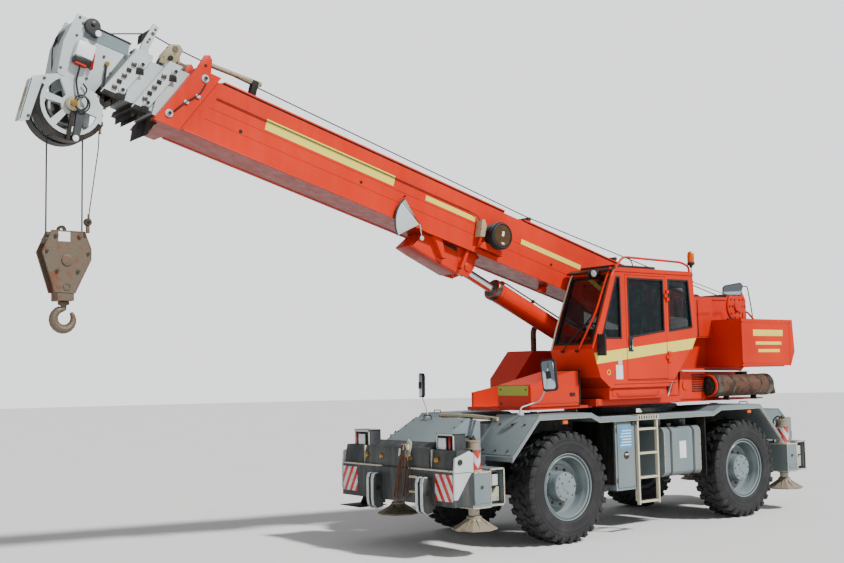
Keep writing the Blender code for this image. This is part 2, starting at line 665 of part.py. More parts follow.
def boom_base(luff):
    depth = BOOM_HALF_DEPTH
    outline = [(-0.15, -0.20), (0.20, -depth), (BASE_LENGTH + 0.30, -depth), (BASE_LENGTH, depth),
               (0.66, depth), (0.62, 0.18), (-0.15, 0.18)]
    box = prism(outline, -BOOM_HALF_WIDTH, BOOM_HALF_WIDTH)
    inner_width, inner_depth = SECTIONS["boom_section_2"][:2]
    wide = BOOM_HALF_WIDTH - BOOM_WALL
    deep = depth - BOOM_WALL
    cavity = block((0.80, BASE_LENGTH - 0.20), (-wide, wide), (-deep, deep))
    mouth = block((BASE_LENGTH - 0.3, 11.0), (-inner_width - RUN, inner_width + RUN),
                  (-inner_depth - RUN, inner_depth + RUN))
    collar = prism(raked(9.80, 10.12, 0.40), -0.34, 0.34)
    eye_x, eye_z = EYE
    cheeks = []
    for span in both_sides(0.06 + CLEAR, 0.11):
        shape = [(eye_x - 0.24, -depth + 0.01), (eye_x - 0.115, -0.44), (eye_x - 0.115, eye_z - 0.05),
                 (eye_x, eye_z - 0.13), (eye_x + 0.12, eye_z - 0.06), (eye_x + 0.45, -depth + 0.01)]
        cheeks.append(prism(shape, *span))
    pin = rod("Y", (eye_x, 0, eye_z), 0.04, -0.10, 0.10)
    foot_bore = rod("Y", (0, 0, 0), FOOT_PIN / cos(pi / 20) + RUN, -0.5, 0.5)
    build("boom_base", "red", luff, [box, collar, *cheeks, pin], [cavity, mouth, foot_bore])


def boom_section(parent, name, inner):
    """A telescoping box with its collar; inner is the section that slides in it."""
    half_width, half_depth, tail, back, front = SECTIONS[name]
    tube = block((tail, back + 0.05), (-half_width, half_width), (-half_depth, half_depth))
    collar = prism(raked(back, front, half_depth + 0.03), -half_width - 0.04, half_width + 0.04)
    wide = half_width - BOOM_WALL
    deep = half_depth - BOOM_WALL
    cavity = block((tail - 0.1, back - 0.25), (-wide, wide), (-deep, deep))
    mouth = block((back - 0.3, front + 1.0), (-inner[0] - RUN, inner[0] + RUN),
                  (-inner[1] - RUN, inner[1] + RUN))
    build(name, "pale", parent, [tube, collar], [cavity, mouth])


def boom_head(parent):
    half_width, half_depth, tail = HEAD_TUBE
    x, z = SHEAVE
    tube = block((tail, x - 0.18), (-half_width, half_width), (-half_depth, half_depth))
    core = block((tail - 0.1, x - 0.22), (-half_width + BOOM_WALL, half_width - BOOM_WALL),
                 (-half_depth + BOOM_WALL, half_depth - BOOM_WALL))
    outline = [(x - 0.445, 0.31), (x - 0.465, 0.39), (x - 0.045, 0.39), (x + 0.085, 0.44),
               (x + 0.205, 0.45), (x + 0.265, 0.10), (x + 0.235, -0.29), (x + 0.345, -0.35),
               *arc(SHEAVE, GUARD_RADIUS, 18, -160, 12), (x - 0.345, -0.50), (x - 0.325, -0.36),
               (x - 0.20, -0.335)]
    plates = [prism(outline, *span) for span in both_sides(half_width - 0.005, half_width + 0.03)]
    axle_pin = rod("Y", (x, 0, z), 0.04, -half_width - 0.01, half_width + 0.01)
    upper_axle = rod("Y", (x + 0.12, 0, 0.16), 0.03, -half_width - 0.01, half_width + 0.01)
    build("boom_head", "pale", parent, [tube, *plates, axle_pin, upper_axle], [core])


def head_sheaves(parent):
    half_facet = pi / ROUND_SIDES
    spin = frame_at("sheave_axis", parent, (SHEAVE[0], 0, SHEAVE[1]), (0, half_facet, 0))
    groove = FALL_OFFSET * cos(half_facet) - ROPE_RADIUS - RUN
    half = [(0.0407, 0.05), (SHEAVE_RADIUS, 0.05), (SHEAVE_RADIUS, 0.016), (groove, 0.014)]
    profile = half + [(r, -y) for r, y in reversed(half)]
    build("head_sheaves", "steel", spin, [turned(profile, "Y", closed=True)])


def cable_reel(luff):
    centre = (5.16, BOOM_HALF_WIDTH + SEAT, -0.08)
    profile = [(0, 0), (0.14, 0), (0.14, 0.02), (0.17, 0.03), (0.17, 0.14), (0.13, 0.16), (0, 0.16)]
    build("cable_reel", "plastic", luff, [turned(profile, "Y", centre, 24)])


def to_machine(along, height):
    """A point of the boom's own frame, in the machine's XZ plane."""
    return (BOOM_FOOT[0] + along * cos(BOOM_ANGLE) - height * sin(BOOM_ANGLE),
            BOOM_FOOT[1] + along * sin(BOOM_ANGLE) + height * cos(BOOM_ANGLE))


def luffing_cylinder(luff):
    eye_x, eye_z = to_machine(*EYE)
    reach = hypot(eye_x - CYLINDER_FOOT[0], eye_z - CYLINDER_FOOT[1])
    slope = atan2(eye_z - CYLINDER_FOOT[1], eye_x - CYLINDER_FOOT[0])
    tilt = frame_at("luff_eye", luff, (EYE[0], 0, EYE[1]), (0, BOOM_ANGLE - slope, 0))
    eye = rod("Y", (0, 0, 0), 0.09, -0.06, 0.06)
    shaft = rod("X", (0, 0, 0), ROD_RADIUS, -reach + 0.22 + RETRACTION, -0.15)
    shank = block((-0.18, 0), (-0.05, 0.05), (-0.045, 0.045))
    build("luff_rod", "chrome", tilt, [shaft, eye, shank], [rod("Y", (0, 0, 0), 0.0407, -0.2, 0.2)])
    slide = frame_at("luff_slide", tilt)
    barrel = rod("X", (0, 0, 0), BARREL_RADIUS, -reach + 0.15, -ROD_SHOWN, 24)
    foot = rod("Y", (-reach, 0, 0), 0.105, -0.12, 0.12)
    neck = block((-reach, -reach + 0.2), (-0.09, 0.09), (-0.08, 0.08))
    bore = rod("X", (0, 0, 0), ROD_RADIUS + 0.0007, -reach + 0.22, 0.0)
    pin_hole = rod("Y", (-reach, 0, 0), 0.05, -0.2, 0.2)
    build("luff_barrel", "red", slide, [barrel, foot, neck], [bore, pin_hole])


# ---- hook ---------------------------------------------------------------------------------------
def rope_falls(swing, level):
    """The rope up from the block, over the sheave and down again."""
    low = BLOCK_TOP - 0.08 + SEAT - level
    arch = arc((0, 0), FALL_OFFSET, 0, 180, 12)
    path = [(FALL_OFFSET, low), *arch, (-FALL_OFFSET, low)]
    build("rope_falls", "steel", swing, [swept(path, [ROPE_RADIUS] * len(path), 8)])


def hook_block(hoist, level):
    outline = [(0.168, 3.92), (-0.196, 3.92), (-0.27, 3.73), (-0.27, 3.61), (-0.093, 3.24),
               (0.132, 3.25), (0.27, 3.69)]
    outline = [(x, z - level) for x, z in outline]
    plates = [prism(outline, *span) for span in both_sides(0.075, 0.105)]
    lid = block((-0.22, 0.22), (-0.08, 0.08), (BLOCK_TOP - 0.14 - level, BLOCK_TOP - 0.08 - level))
    middle = 3.60 - level
    sheave = rod("Y", (0, 0, middle), 0.17, -0.05, 0.05, 24)
    pin = rod("Y", (0, 0, middle), 0.05, -0.12, 0.12)
    head = block((-0.08, 0.10), (-0.10, 0.10), (SWIVEL_Z - level, 3.30 - level))
    build("hook_block", "rust", hoist, [*plates, lid, sheave, pin, head])


def hook(hoist, level):
    spin = frame_at("hook_swivel", hoist)
    middle = (0.0, HOOK_MIDDLE - level)
    steps = 16
    path = [(0.0, SWIVEL_Z - RUN - level)] + arc(middle, HOOK_RADIUS, 90, -220, steps)
    thick = [0.034] + [0.034 + 0.02 * sin(pi * k / steps) - 0.014 * (k / steps) ** 3
                       for k in range(steps + 1)]
    build("hook", "rust", spin, [swept(path, thick)])


# ---- the whole machine --------------------------------------------------------------------------
def clear_scene():
    for item in list(bpy.data.objects):
        bpy.data.objects.remove(item)


def carrier(machine):
    chassis_frame(machine)
    outrigger_box(machine, "front_outrigger_box", FRONT_TUBES, 1)
    outrigger_box(machine, "rear_outrigger_box", REAR_TUBES, -1)
    deck(machine, "left_deck", 1)
    deck(machine, "right_deck", -1)
    front_apron(machine)
    rear_apron(machine)
    for name, x in (("front", AXLE), ("rear", -AXLE)):
        axle(machine, name + "_axle", x)
        wheel_end(machine, name + "_left", x, 1)
        wheel_end(machine, name + "_right", x, -1)
    outrigger(machine, "front_left", FRONT_TUBES, 1, True, 1)
    outrigger(machine, "front_right", FRONT_TUBES, 1, False, -1)
    outrigger(machine, "rear_left", REAR_TUBES, -1, False, 1)
    outrigger(machine, "rear_right", REAR_TUBES, -1, True, -1)
    tool_locker(machine)
    access_ladder(machine)
    side_tank(machine, "fuel_tank", (-0.885, -0.05), 1, "grey")
    side_tank(machine, "hydraulic_tank", (-0.885, 0.90), -1, "grey")


def upper_works(machine):
    slew = frame_at("slew", machine)
    turntable_frame(slew)
    counterweight(slew)
    nose_cover(slew)
    left_housing(slew)
    right_housing(slew)
    muffler(slew)
    winch_drum(slew)
    cab_body(slew)
    cab_roof(slew)
    windshield(slew)
    side_pane(slew, "quarter_glass", QUARTER_WINDOW)
    operator_seat(slew)
    control_console(slew)
    cab_door(slew)
    return slew


def boom(slew):
    luff = frame_at("luff", slew, (BOOM_FOOT[0], 0, BOOM_FOOT[1]), (0, -BOOM_ANGLE, 0))
    boom_base(luff)
    cable_reel(luff)
    luffing_cylinder(luff)
    second = frame_at("second_slide", luff)
    boom_section(second, "boom_section_2", SECTIONS["boom_section_3"][:2])
    third = frame_at("third_slide", second)
    boom_section(third, "boom_section_3", HEAD_TUBE[:2])
    head = frame_at("head_slide", third)
    boom_head(head)
    head_sheaves(head)
    swing = frame_at("hook_swing", head, (SHEAVE[0], 0, SHEAVE[1]), (0, BOOM_ANGLE, 0))
    level = to_machine(*SHEAVE)[1]
    rope_falls(swing, level)
    hoist = frame_at("hook_hoist", swing)
    hook_block(hoist, level)
    hook(hoist, level)


clear_scene()
machine = frame_at("machine", None, (-CENTRE_SHIFT, 0, 0))
carrier(machine)
boom(upper_works(machine))
bpy.context.view_layer.update()
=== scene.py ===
import json
from math import atan2, cos, pi, radians, sin

import bmesh
import bpy
from mathutils import Matrix, Vector

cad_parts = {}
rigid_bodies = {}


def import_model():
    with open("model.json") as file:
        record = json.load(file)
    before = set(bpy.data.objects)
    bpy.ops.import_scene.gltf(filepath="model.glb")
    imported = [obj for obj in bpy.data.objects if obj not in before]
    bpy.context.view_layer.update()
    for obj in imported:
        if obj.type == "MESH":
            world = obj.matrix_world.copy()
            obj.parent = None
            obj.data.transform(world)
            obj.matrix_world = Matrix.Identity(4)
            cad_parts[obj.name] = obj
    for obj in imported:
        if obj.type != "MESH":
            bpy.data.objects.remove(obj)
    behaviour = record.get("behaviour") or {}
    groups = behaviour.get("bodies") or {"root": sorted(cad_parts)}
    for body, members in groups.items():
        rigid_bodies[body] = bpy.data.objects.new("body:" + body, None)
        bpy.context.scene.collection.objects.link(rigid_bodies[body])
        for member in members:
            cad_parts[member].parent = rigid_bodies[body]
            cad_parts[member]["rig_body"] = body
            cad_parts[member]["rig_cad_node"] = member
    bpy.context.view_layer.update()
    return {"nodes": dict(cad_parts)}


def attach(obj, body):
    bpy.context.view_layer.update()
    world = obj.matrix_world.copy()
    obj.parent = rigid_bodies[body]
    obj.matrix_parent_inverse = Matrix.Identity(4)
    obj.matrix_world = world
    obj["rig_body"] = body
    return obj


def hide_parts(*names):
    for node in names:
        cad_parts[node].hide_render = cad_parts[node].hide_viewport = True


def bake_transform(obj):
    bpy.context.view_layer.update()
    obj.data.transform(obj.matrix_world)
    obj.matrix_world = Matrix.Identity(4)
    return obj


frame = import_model()

# ---- stage: floor, light and camera -------------------------------------------------------------
# A pale, smooth studio floor under open, even light, with one broad lamp high on the cab side.
# The camera stands where a person by the front corner of the machine would.


def linear(code):
    """An sRGB colour such as #ff8800, as the linear numbers that shaders take."""
    parts = [int(code[k:k + 2], 16) / 255 for k in (1, 3, 5)]
    return tuple(c / 12.92 if c <= 0.04045 else ((c + 0.055) / 1.055) ** 2.4 for c in parts) + (1.0,)


def add(tree, kind, settings=None, **sockets):
    """Adds a node; sockets are values or other nodes' outputs, named with _ for a space."""
    node = tree.nodes.new(kind)
    for key, value in (settings or {}).items():
        setattr(node, key, value)
    for key, value in sockets.items():
        socket = node.inputs[int(key[1:])] if key[1:].isdigit() else node.inputs[key.replace("_", " ")]
        if isinstance(value, bpy.types.NodeSocket):
            tree.links.new(value, socket)
        else:
            socket.default_value = value
    return node


def circle(count, radius, start=0.0):
    """Points evenly round a circle, from an angle on."""
    turns = [2 * pi * k / count + start for k in range(count)]
    return [(radius * cos(turn), radius * sin(turn)) for turn in turns]


def surface(name):
    """A new material with its Principled shader and object coordinates."""
    material = bpy.data.materials.new(name)
    material.use_nodes = True
    tree = material.node_tree
    shader = tree.nodes["Principled BSDF"]
    place = add(tree, "ShaderNodeTexCoord").outputs["Object"]
    return material, tree, shader, place


def studio_floor():
    # sealed concrete, rolled pale
    material, tree, shader, place = surface("sealed_concrete_floor")
    cloud = add(tree, "ShaderNodeTexNoise", Vector=place, Scale=0.6, Detail=6.0).outputs["Fac"]
    tone = add(tree, "ShaderNodeMix", {"data_type": "RGBA"}, Factor=cloud)
    tone.inputs[6].default_value = linear("#e9e9e7")
    tone.inputs[7].default_value = linear("#f4f4f2")
    tree.links.new(tone.outputs[2], shader.inputs["Base Color"])
    shader.inputs["Roughness"].default_value = 0.75
    floor = bpy.data.meshes.new("studio_floor")
    floor.from_pydata([(x, y, 0) for x, y in circle(64, 90)], [], [list(range(64))])
    floor.materials.append(material)
    item = bpy.data.objects.new("studio_floor", floor)
    bpy.context.scene.collection.objects.link(item)


studio_floor()

world = bpy.data.worlds.new("studio_sky")
world.use_nodes = True
sky = world.node_tree
seen = add(sky, "ShaderNodeLightPath").outputs["Is Camera Ray"]
glow = add(sky, "ShaderNodeMapRange", Value=seen, To_Min=0.36, To_Max=1.75).outputs[0]
sky.links.new(glow, sky.nodes["Background"].inputs["Strength"])
sky.nodes["Background"].inputs["Color"].default_value = linear("#f7f9fc")
bpy.context.scene.world = world


def area_lamp(name, place, target, power, size):
    lamp = bpy.data.lights.new(name, "AREA")
    lamp.energy = power
    lamp.shape = "DISK"
    lamp.size = size
    item = bpy.data.objects.new(name, lamp)
    item.location = place
    item.rotation_euler = (Vector(target) - Vector(place)).to_track_quat("-Z", "Y").to_euler()
    bpy.context.scene.collection.objects.link(item)


key = bpy.data.lights.new("key_lamp", "SUN")
key.energy = 4.9
key.angle = radians(5)
key_item = bpy.data.objects.new("key_lamp", key)
key_item.rotation_euler = Vector((0.42, -1.0, -1.05)).to_track_quat("-Z", "Y").to_euler()
bpy.context.scene.collection.objects.link(key_item)
area_lamp("front_softbox", (16.0, 6.0, 6.0), (0.0, 0.0, 2.0), 260, 5.0)

heading, pitch, roll = 0.6665, 0.0832, -0.0195
forward = Vector((-cos(pitch) * sin(heading), -cos(pitch) * cos(heading), sin(pitch)))
right = forward.cross(Vector((0, 0, 1))).normalized()
up = right.cross(forward)
across = cos(roll) * right + sin(roll) * up
upward = -sin(roll) * right + cos(roll) * up
camera_data = bpy.data.cameras.new("photo_camera")
camera_data.sensor_width = 36
camera_data.lens = 47.44
camera = bpy.data.objects.new("photo_camera", camera_data)
camera.matrix_world = Matrix.Translation((10.2999, 11.8696, 2.2935)) @ Matrix(
    (across, upward, -forward)).transposed().to_4x4()
bpy.context.scene.collection.objects.link(camera)
bpy.context.scene.camera = camera

# ---- paints and metals of the CAD pieces --------------------------------------------------------
# Two-pack enamel over steel plate: red upper works, blue-grey carrier, pale grey sections.
# Road dust settles low down and in streaks, and small chips show the primer.


def enamel(name, colour, shade, dust="#8f8778", dusty=0.35, chip="#4a3a32", chipped=0.70, gloss=0.32):
    """Brushed or sprayed enamel with cloudy fading, dusty streaks, stone chips and orange peel."""
    material, tree, shader, place = surface(name)
    cloud = add(tree, "ShaderNodeTexNoise", Vector=place, Scale=0.9, Detail=5.0).outputs["Fac"]
    cloud = add(tree, "ShaderNodeMapRange", Value=cloud, From_Min=0.35, From_Max=0.7).outputs[0]
    paint = add(tree, "ShaderNodeMix", {"data_type": "RGBA"}, Factor=cloud)
    paint.inputs[6].default_value = linear(colour)
    paint.inputs[7].default_value = linear(shade)
    spread = add(tree, "ShaderNodeMapping", Vector=place, Scale=(5.0, 5.0, 0.7)).outputs[0]
    streak = add(tree, "ShaderNodeTexNoise", Vector=spread, Scale=1.6, Detail=8.0,
        Roughness=0.62).outputs["Fac"]
    height = add(tree, "ShaderNodeSeparateXYZ", Vector=place).outputs["Z"]
    low = add(tree, "ShaderNodeMapRange", Value=height, From_Min=0.3, From_Max=2.2, To_Min=1.0,
        To_Max=0.45).outputs[0]
    dirty = add(tree, "ShaderNodeMapRange", Value=streak, From_Min=0.42, From_Max=0.80).outputs[0]
    dirty = add(tree, "ShaderNodeMath", {"operation": "MULTIPLY"}, _0=dirty, _1=low).outputs[0]
    dirty = add(tree, "ShaderNodeMath", {"operation": "MULTIPLY"}, _0=dirty, _1=dusty).outputs[0]
    soiled = add(tree, "ShaderNodeMix", {"data_type": "RGBA"}, Factor=dirty)
    tree.links.new(paint.outputs[2], soiled.inputs[6])
    soiled.inputs[7].default_value = linear(dust)
    speck = add(tree, "ShaderNodeTexNoise", Vector=place, Scale=38.0, Detail=4.0,
        Roughness=0.7).outputs["Fac"]
    speck = add(tree, "ShaderNodeMapRange", Value=speck, From_Min=chipped,
        From_Max=chipped + 0.03).outputs[0]
    # downward faces darken to a dark film: partly oil and road film, partly painted shade beneath the parts
    facing = add(tree, "ShaderNodeSeparateXYZ", Vector=place.node.outputs["Normal"]).outputs["Z"]
    film = add(tree, "ShaderNodeMapRange", Value=facing, From_Min=-0.35, From_Max=-0.95,
        To_Max=0.72).outputs[0]
    oil_and_painted_shade = add(tree, "ShaderNodeMix", {"data_type": "RGBA"}, Factor=film)
    tree.links.new(soiled.outputs[2], oil_and_painted_shade.inputs[6])
    oil_and_painted_shade.inputs[7].default_value = linear("#3c130c" if name.startswith("red") else "#1d1815")
    worn = add(tree, "ShaderNodeMix", {"data_type": "RGBA"}, Factor=speck)
    tree.links.new(oil_and_painted_shade.outputs[2], worn.inputs[6])
    worn.inputs[7].default_value = linear(chip)
    tree.links.new(worn.outputs[2], shader.inputs["Base Color"])
    shader.inputs["Specular IOR Level"].default_value = 0.22
    rough = add(tree, "ShaderNodeMapRange", Value=streak, From_Min=0.3, From_Max=0.8, To_Min=gloss,
        To_Max=gloss + 0.28).outputs[0]
    tree.links.new(rough, shader.inputs["Roughness"])
    peel = add(tree, "ShaderNodeTexNoise", Vector=place, Scale=90.0, Detail=2.0).outputs["Fac"]
    dent = add(tree, "ShaderNodeTexNoise", Vector=place, Scale=2.2, Detail=1.0).outputs["Fac"]
    rounded = add(tree, "ShaderNodeBevel", {"samples": 4}, Radius=0.006).outputs[0]
    bumped = add(tree, "ShaderNodeBump", Height=peel, Strength=0.12, Distance=0.0015,
        Normal=rounded).outputs[0]
    bumped = add(tree, "ShaderNodeBump", Height=dent, Strength=0.25, Distance=0.01,
        Normal=bumped).outputs[0]
    bumped = add(tree, "ShaderNodeBump", {"invert": True}, Height=speck, Strength=0.3, Distance=0.001,
        Normal=bumped).outputs[0]
    tree.links.new(bumped, shader.inputs["Normal"])
    shader.inputs["Coat Weight"].default_value = 0.15
    shader.inputs["Coat Roughness"].default_value = 0.2
    return material


def worked_metal(name, colour, shade, rust="#5b3a25", rusty=0.5, gloss=0.3, metallic=1.0,
        grain=(60.0, 60.0, 60.0)):
    """Bare metal with machining grain, oil stains and rust freckles."""
    material, tree, shader, place = surface(name)
    stretched = add(tree, "ShaderNodeMapping", Vector=place, Scale=grain).outputs[0]
    lines = add(tree, "ShaderNodeTexNoise", Vector=stretched, Scale=1.0, Detail=4.0).outputs["Fac"]
    metal = add(tree, "ShaderNodeMix", {"data_type": "RGBA"}, Factor=lines)
    metal.inputs[6].default_value = linear(colour)
    metal.inputs[7].default_value = linear(shade)
    patch = add(tree, "ShaderNodeTexNoise", Vector=place, Scale=7.0, Detail=9.0,
        Roughness=0.68).outputs["Fac"]
    patch = add(tree, "ShaderNodeMapRange", Value=patch, From_Min=1.0 - rusty,
        From_Max=1.12 - rusty).outputs[0]
    aged = add(tree, "ShaderNodeMix", {"data_type": "RGBA"}, Factor=patch)
    tree.links.new(metal.outputs[2], aged.inputs[6])
    aged.inputs[7].default_value = linear(rust)
    tree.links.new(aged.outputs[2], shader.inputs["Base Color"])
    matt = add(tree, "ShaderNodeMapRange", Value=patch, To_Min=gloss, To_Max=0.85).outputs[0]
    tree.links.new(matt, shader.inputs["Roughness"])
    shine = add(tree, "ShaderNodeMapRange", Value=patch, To_Min=metallic, To_Max=0.1).outputs[0]
    tree.links.new(shine, shader.inputs["Metallic"])
    bumped = add(tree, "ShaderNodeBump", Height=lines, Strength=0.15, Distance=0.001).outputs[0]
    bumped = add(tree, "ShaderNodeBump", Height=patch, Strength=0.4, Distance=0.001,
        Normal=bumped).outputs[0]
    tree.links.new(bumped, shader.inputs["Normal"])
    return material


def moulded(name, colour, shade, gloss=0.5, grain=220.0, dusty=0.25, depth=0.3):
    """Moulded rubber or plastic with a fine grain and a film of dust."""
    material, tree, shader, place = surface(name)
    film = add(tree, "ShaderNodeTexNoise", Vector=place, Scale=4.5, Detail=8.0,
        Roughness=0.65).outputs["Fac"]
    film = add(tree, "ShaderNodeMapRange", Value=film, From_Min=0.45, From_Max=0.75,
        To_Max=dusty).outputs[0]
    skin = add(tree, "ShaderNodeMix", {"data_type": "RGBA"}, Factor=film)
    skin.inputs[6].default_value = linear(colour)
    skin.inputs[7].default_value = linear(shade)
    tree.links.new(skin.outputs[2], shader.inputs["Base Color"])
    rough = add(tree, "ShaderNodeMapRange", Value=film, To_Min=gloss, To_Max=gloss + 0.25).outputs[0]
    tree.links.new(rough, shader.inputs["Roughness"])
    pores = add(tree, "ShaderNodeTexNoise", Vector=place, Scale=grain, Detail=3.0).outputs["Fac"]
    bumped = add(tree, "ShaderNodeBump", Height=pores, Strength=depth, Distance=0.001).outputs[0]
    tree.links.new(bumped, shader.inputs["Normal"])
    return material


def tinted_glass():
    # toughened cab glass with a faint green tint, rain spots and wiped dust
    material, tree, shader, place = surface("toughened_tinted_glass")
    spots = add(tree, "ShaderNodeTexNoise", Vector=place, Scale=14.0, Detail=10.0,
        Roughness=0.7).outputs["Fac"]
    film = add(tree, "ShaderNodeMapRange", Value=spots, From_Min=0.5, From_Max=0.75, To_Min=0.0,
        To_Max=0.12).outputs[0]
    tone = add(tree, "ShaderNodeMix", {"data_type": "RGBA"}, Factor=film)
    tone.inputs[6].default_value = linear("#0c1c20")
    tone.inputs[7].default_value = linear("#8f948c")
    tree.links.new(tone.outputs[2], shader.inputs["Base Color"])
    edge = add(tree, "ShaderNodeLayerWeight", Blend=0.35).outputs["Facing"]
    cover = add(tree, "ShaderNodeMapRange", Value=edge, To_Min=0.42, To_Max=0.85).outputs[0]
    cover = add(tree, "ShaderNodeMath", {"operation": "ADD"}, _0=cover, _1=film).outputs[0]
    tree.links.new(cover, shader.inputs["Alpha"])
    shader.inputs["Roughness"].default_value = 0.03
    shader.inputs["IOR"].default_value = 1.52
    shader.inputs["Coat Weight"].default_value = 0.6
    shader.inputs["Coat Roughness"].default_value = 0.02
    return material


red = enamel("red_crane_enamel", "#d82c06", "#c22405", dust="#a8583c", dusty=0.16, chipped=0.73)
grey = enamel("blue_grey_chassis_enamel", "#7d8b8f", "#6d7a7e", dusty=0.45)
dark = enamel("dark_grey_chassis_paint", "#383d41", "#2c3034", dusty=0.45, gloss=0.45)
pale = enamel("pale_grey_boom_enamel", "#c3cccb", "#b2bbbb", dusty=0.3, chipped=0.72)
cream = enamel("cream_ladder_enamel", "#cfcab2", "#b9b49c", dusty=0.4)
black = enamel("satin_black_paint", "#17181a", "#0f1011", dusty=0.3, gloss=0.4)
rubber = moulded("weathered_tyre_rubber", "#17181a", "#4a4744", gloss=0.7, grain=150.0, dusty=0.45)
plastic = moulded("black_textured_plastic", "#141517", "#3a3a3a", gloss=0.5)
vinyl = moulded("seat_vinyl", "#1d1f22", "#3b3b3a", gloss=0.45, grain=120.0)
chrome = worked_metal("hard_chromed_rod", "#d9dcde", "#b9bdc0", rusty=0.2, gloss=0.12,
    grain=(3.0, 240.0, 3.0))
steel = worked_metal("oiled_machined_steel", "#6f6a63", "#57524c", rusty=0.42, gloss=0.35)
rusty = worked_metal("rusty_cast_steel", "#6f6352", "#574b3d", rust="#6b4430", rusty=0.50, gloss=0.55,
    metallic=0.35)
pad_metal = worked_metal("galvanised_pad_steel", "#a39a86", "#8a806c", rust="#6d5a44", rusty=0.48,
    gloss=0.55, metallic=0.25)
exhaust = worked_metal("scorched_exhaust_steel", "#6b4a37", "#54382a", rust="#3c2418", rusty=0.55,
    gloss=0.6, metallic=0.4)
glass = tinted_glass()

finishes = {
    "chassis_frame": dark, "front_outrigger_box": grey, "rear_outrigger_box": grey, "left_deck": grey,
    "right_deck": grey, "front_apron": dark, "rear_apron": grey, "front_axle": black, "rear_axle": black,
    "tool_locker": grey, "access_ladder": cream, "fuel_tank": grey, "hydraulic_tank": grey,
    "muffler": exhaust, "winch_drum": steel, "windshield": glass, "quarter_glass": glass,
    "door_glass": glass, "operator_seat": vinyl, "control_console": plastic, "cable_reel": plastic,
    "luff_rod": chrome, "boom_section_2": pale, "boom_section_3": pale, "boom_head": pale,
    "head_sheaves": steel, "rope_falls": steel, "hook_block": rusty, "hook": rusty,
}
for corner in ("front_left", "front_right", "rear_left", "rear_right"):
    finishes[corner + "_knuckle"] = black
    finishes[corner + "_rim"] = grey
    finishes[corner + "_tyre"] = rubber
    finishes[corner + "_outrigger_beam"] = grey
    finishes[corner + "_jack_leg"] = pad_metal
for name, item in frame["nodes"].items():
    item.data.materials.clear()
    item.data.materials.append(finishes.get(name, red))

# ---- carrier frame and axles --------------------------------------------------------------------
# A welded box frame of thick plate carries everything; planetary drive axles hang below it.
# Propeller shafts with universal joints run from the gearbox, and brake hoses from the frame.

SLEW_X = -2.467  # the slewing axis stands this far from the middle of the machine


def ordered(a, b):
    """Two places across the machine, the lower first, so that one line serves both sides."""
    return min(a, b), max(a, b)


def outward(side):
    """The turn that points a left-hand fitting's outer face to the given side."""
    return Matrix.Identity(4) if side > 0 else Matrix.Rotation(pi, 4, "Z")


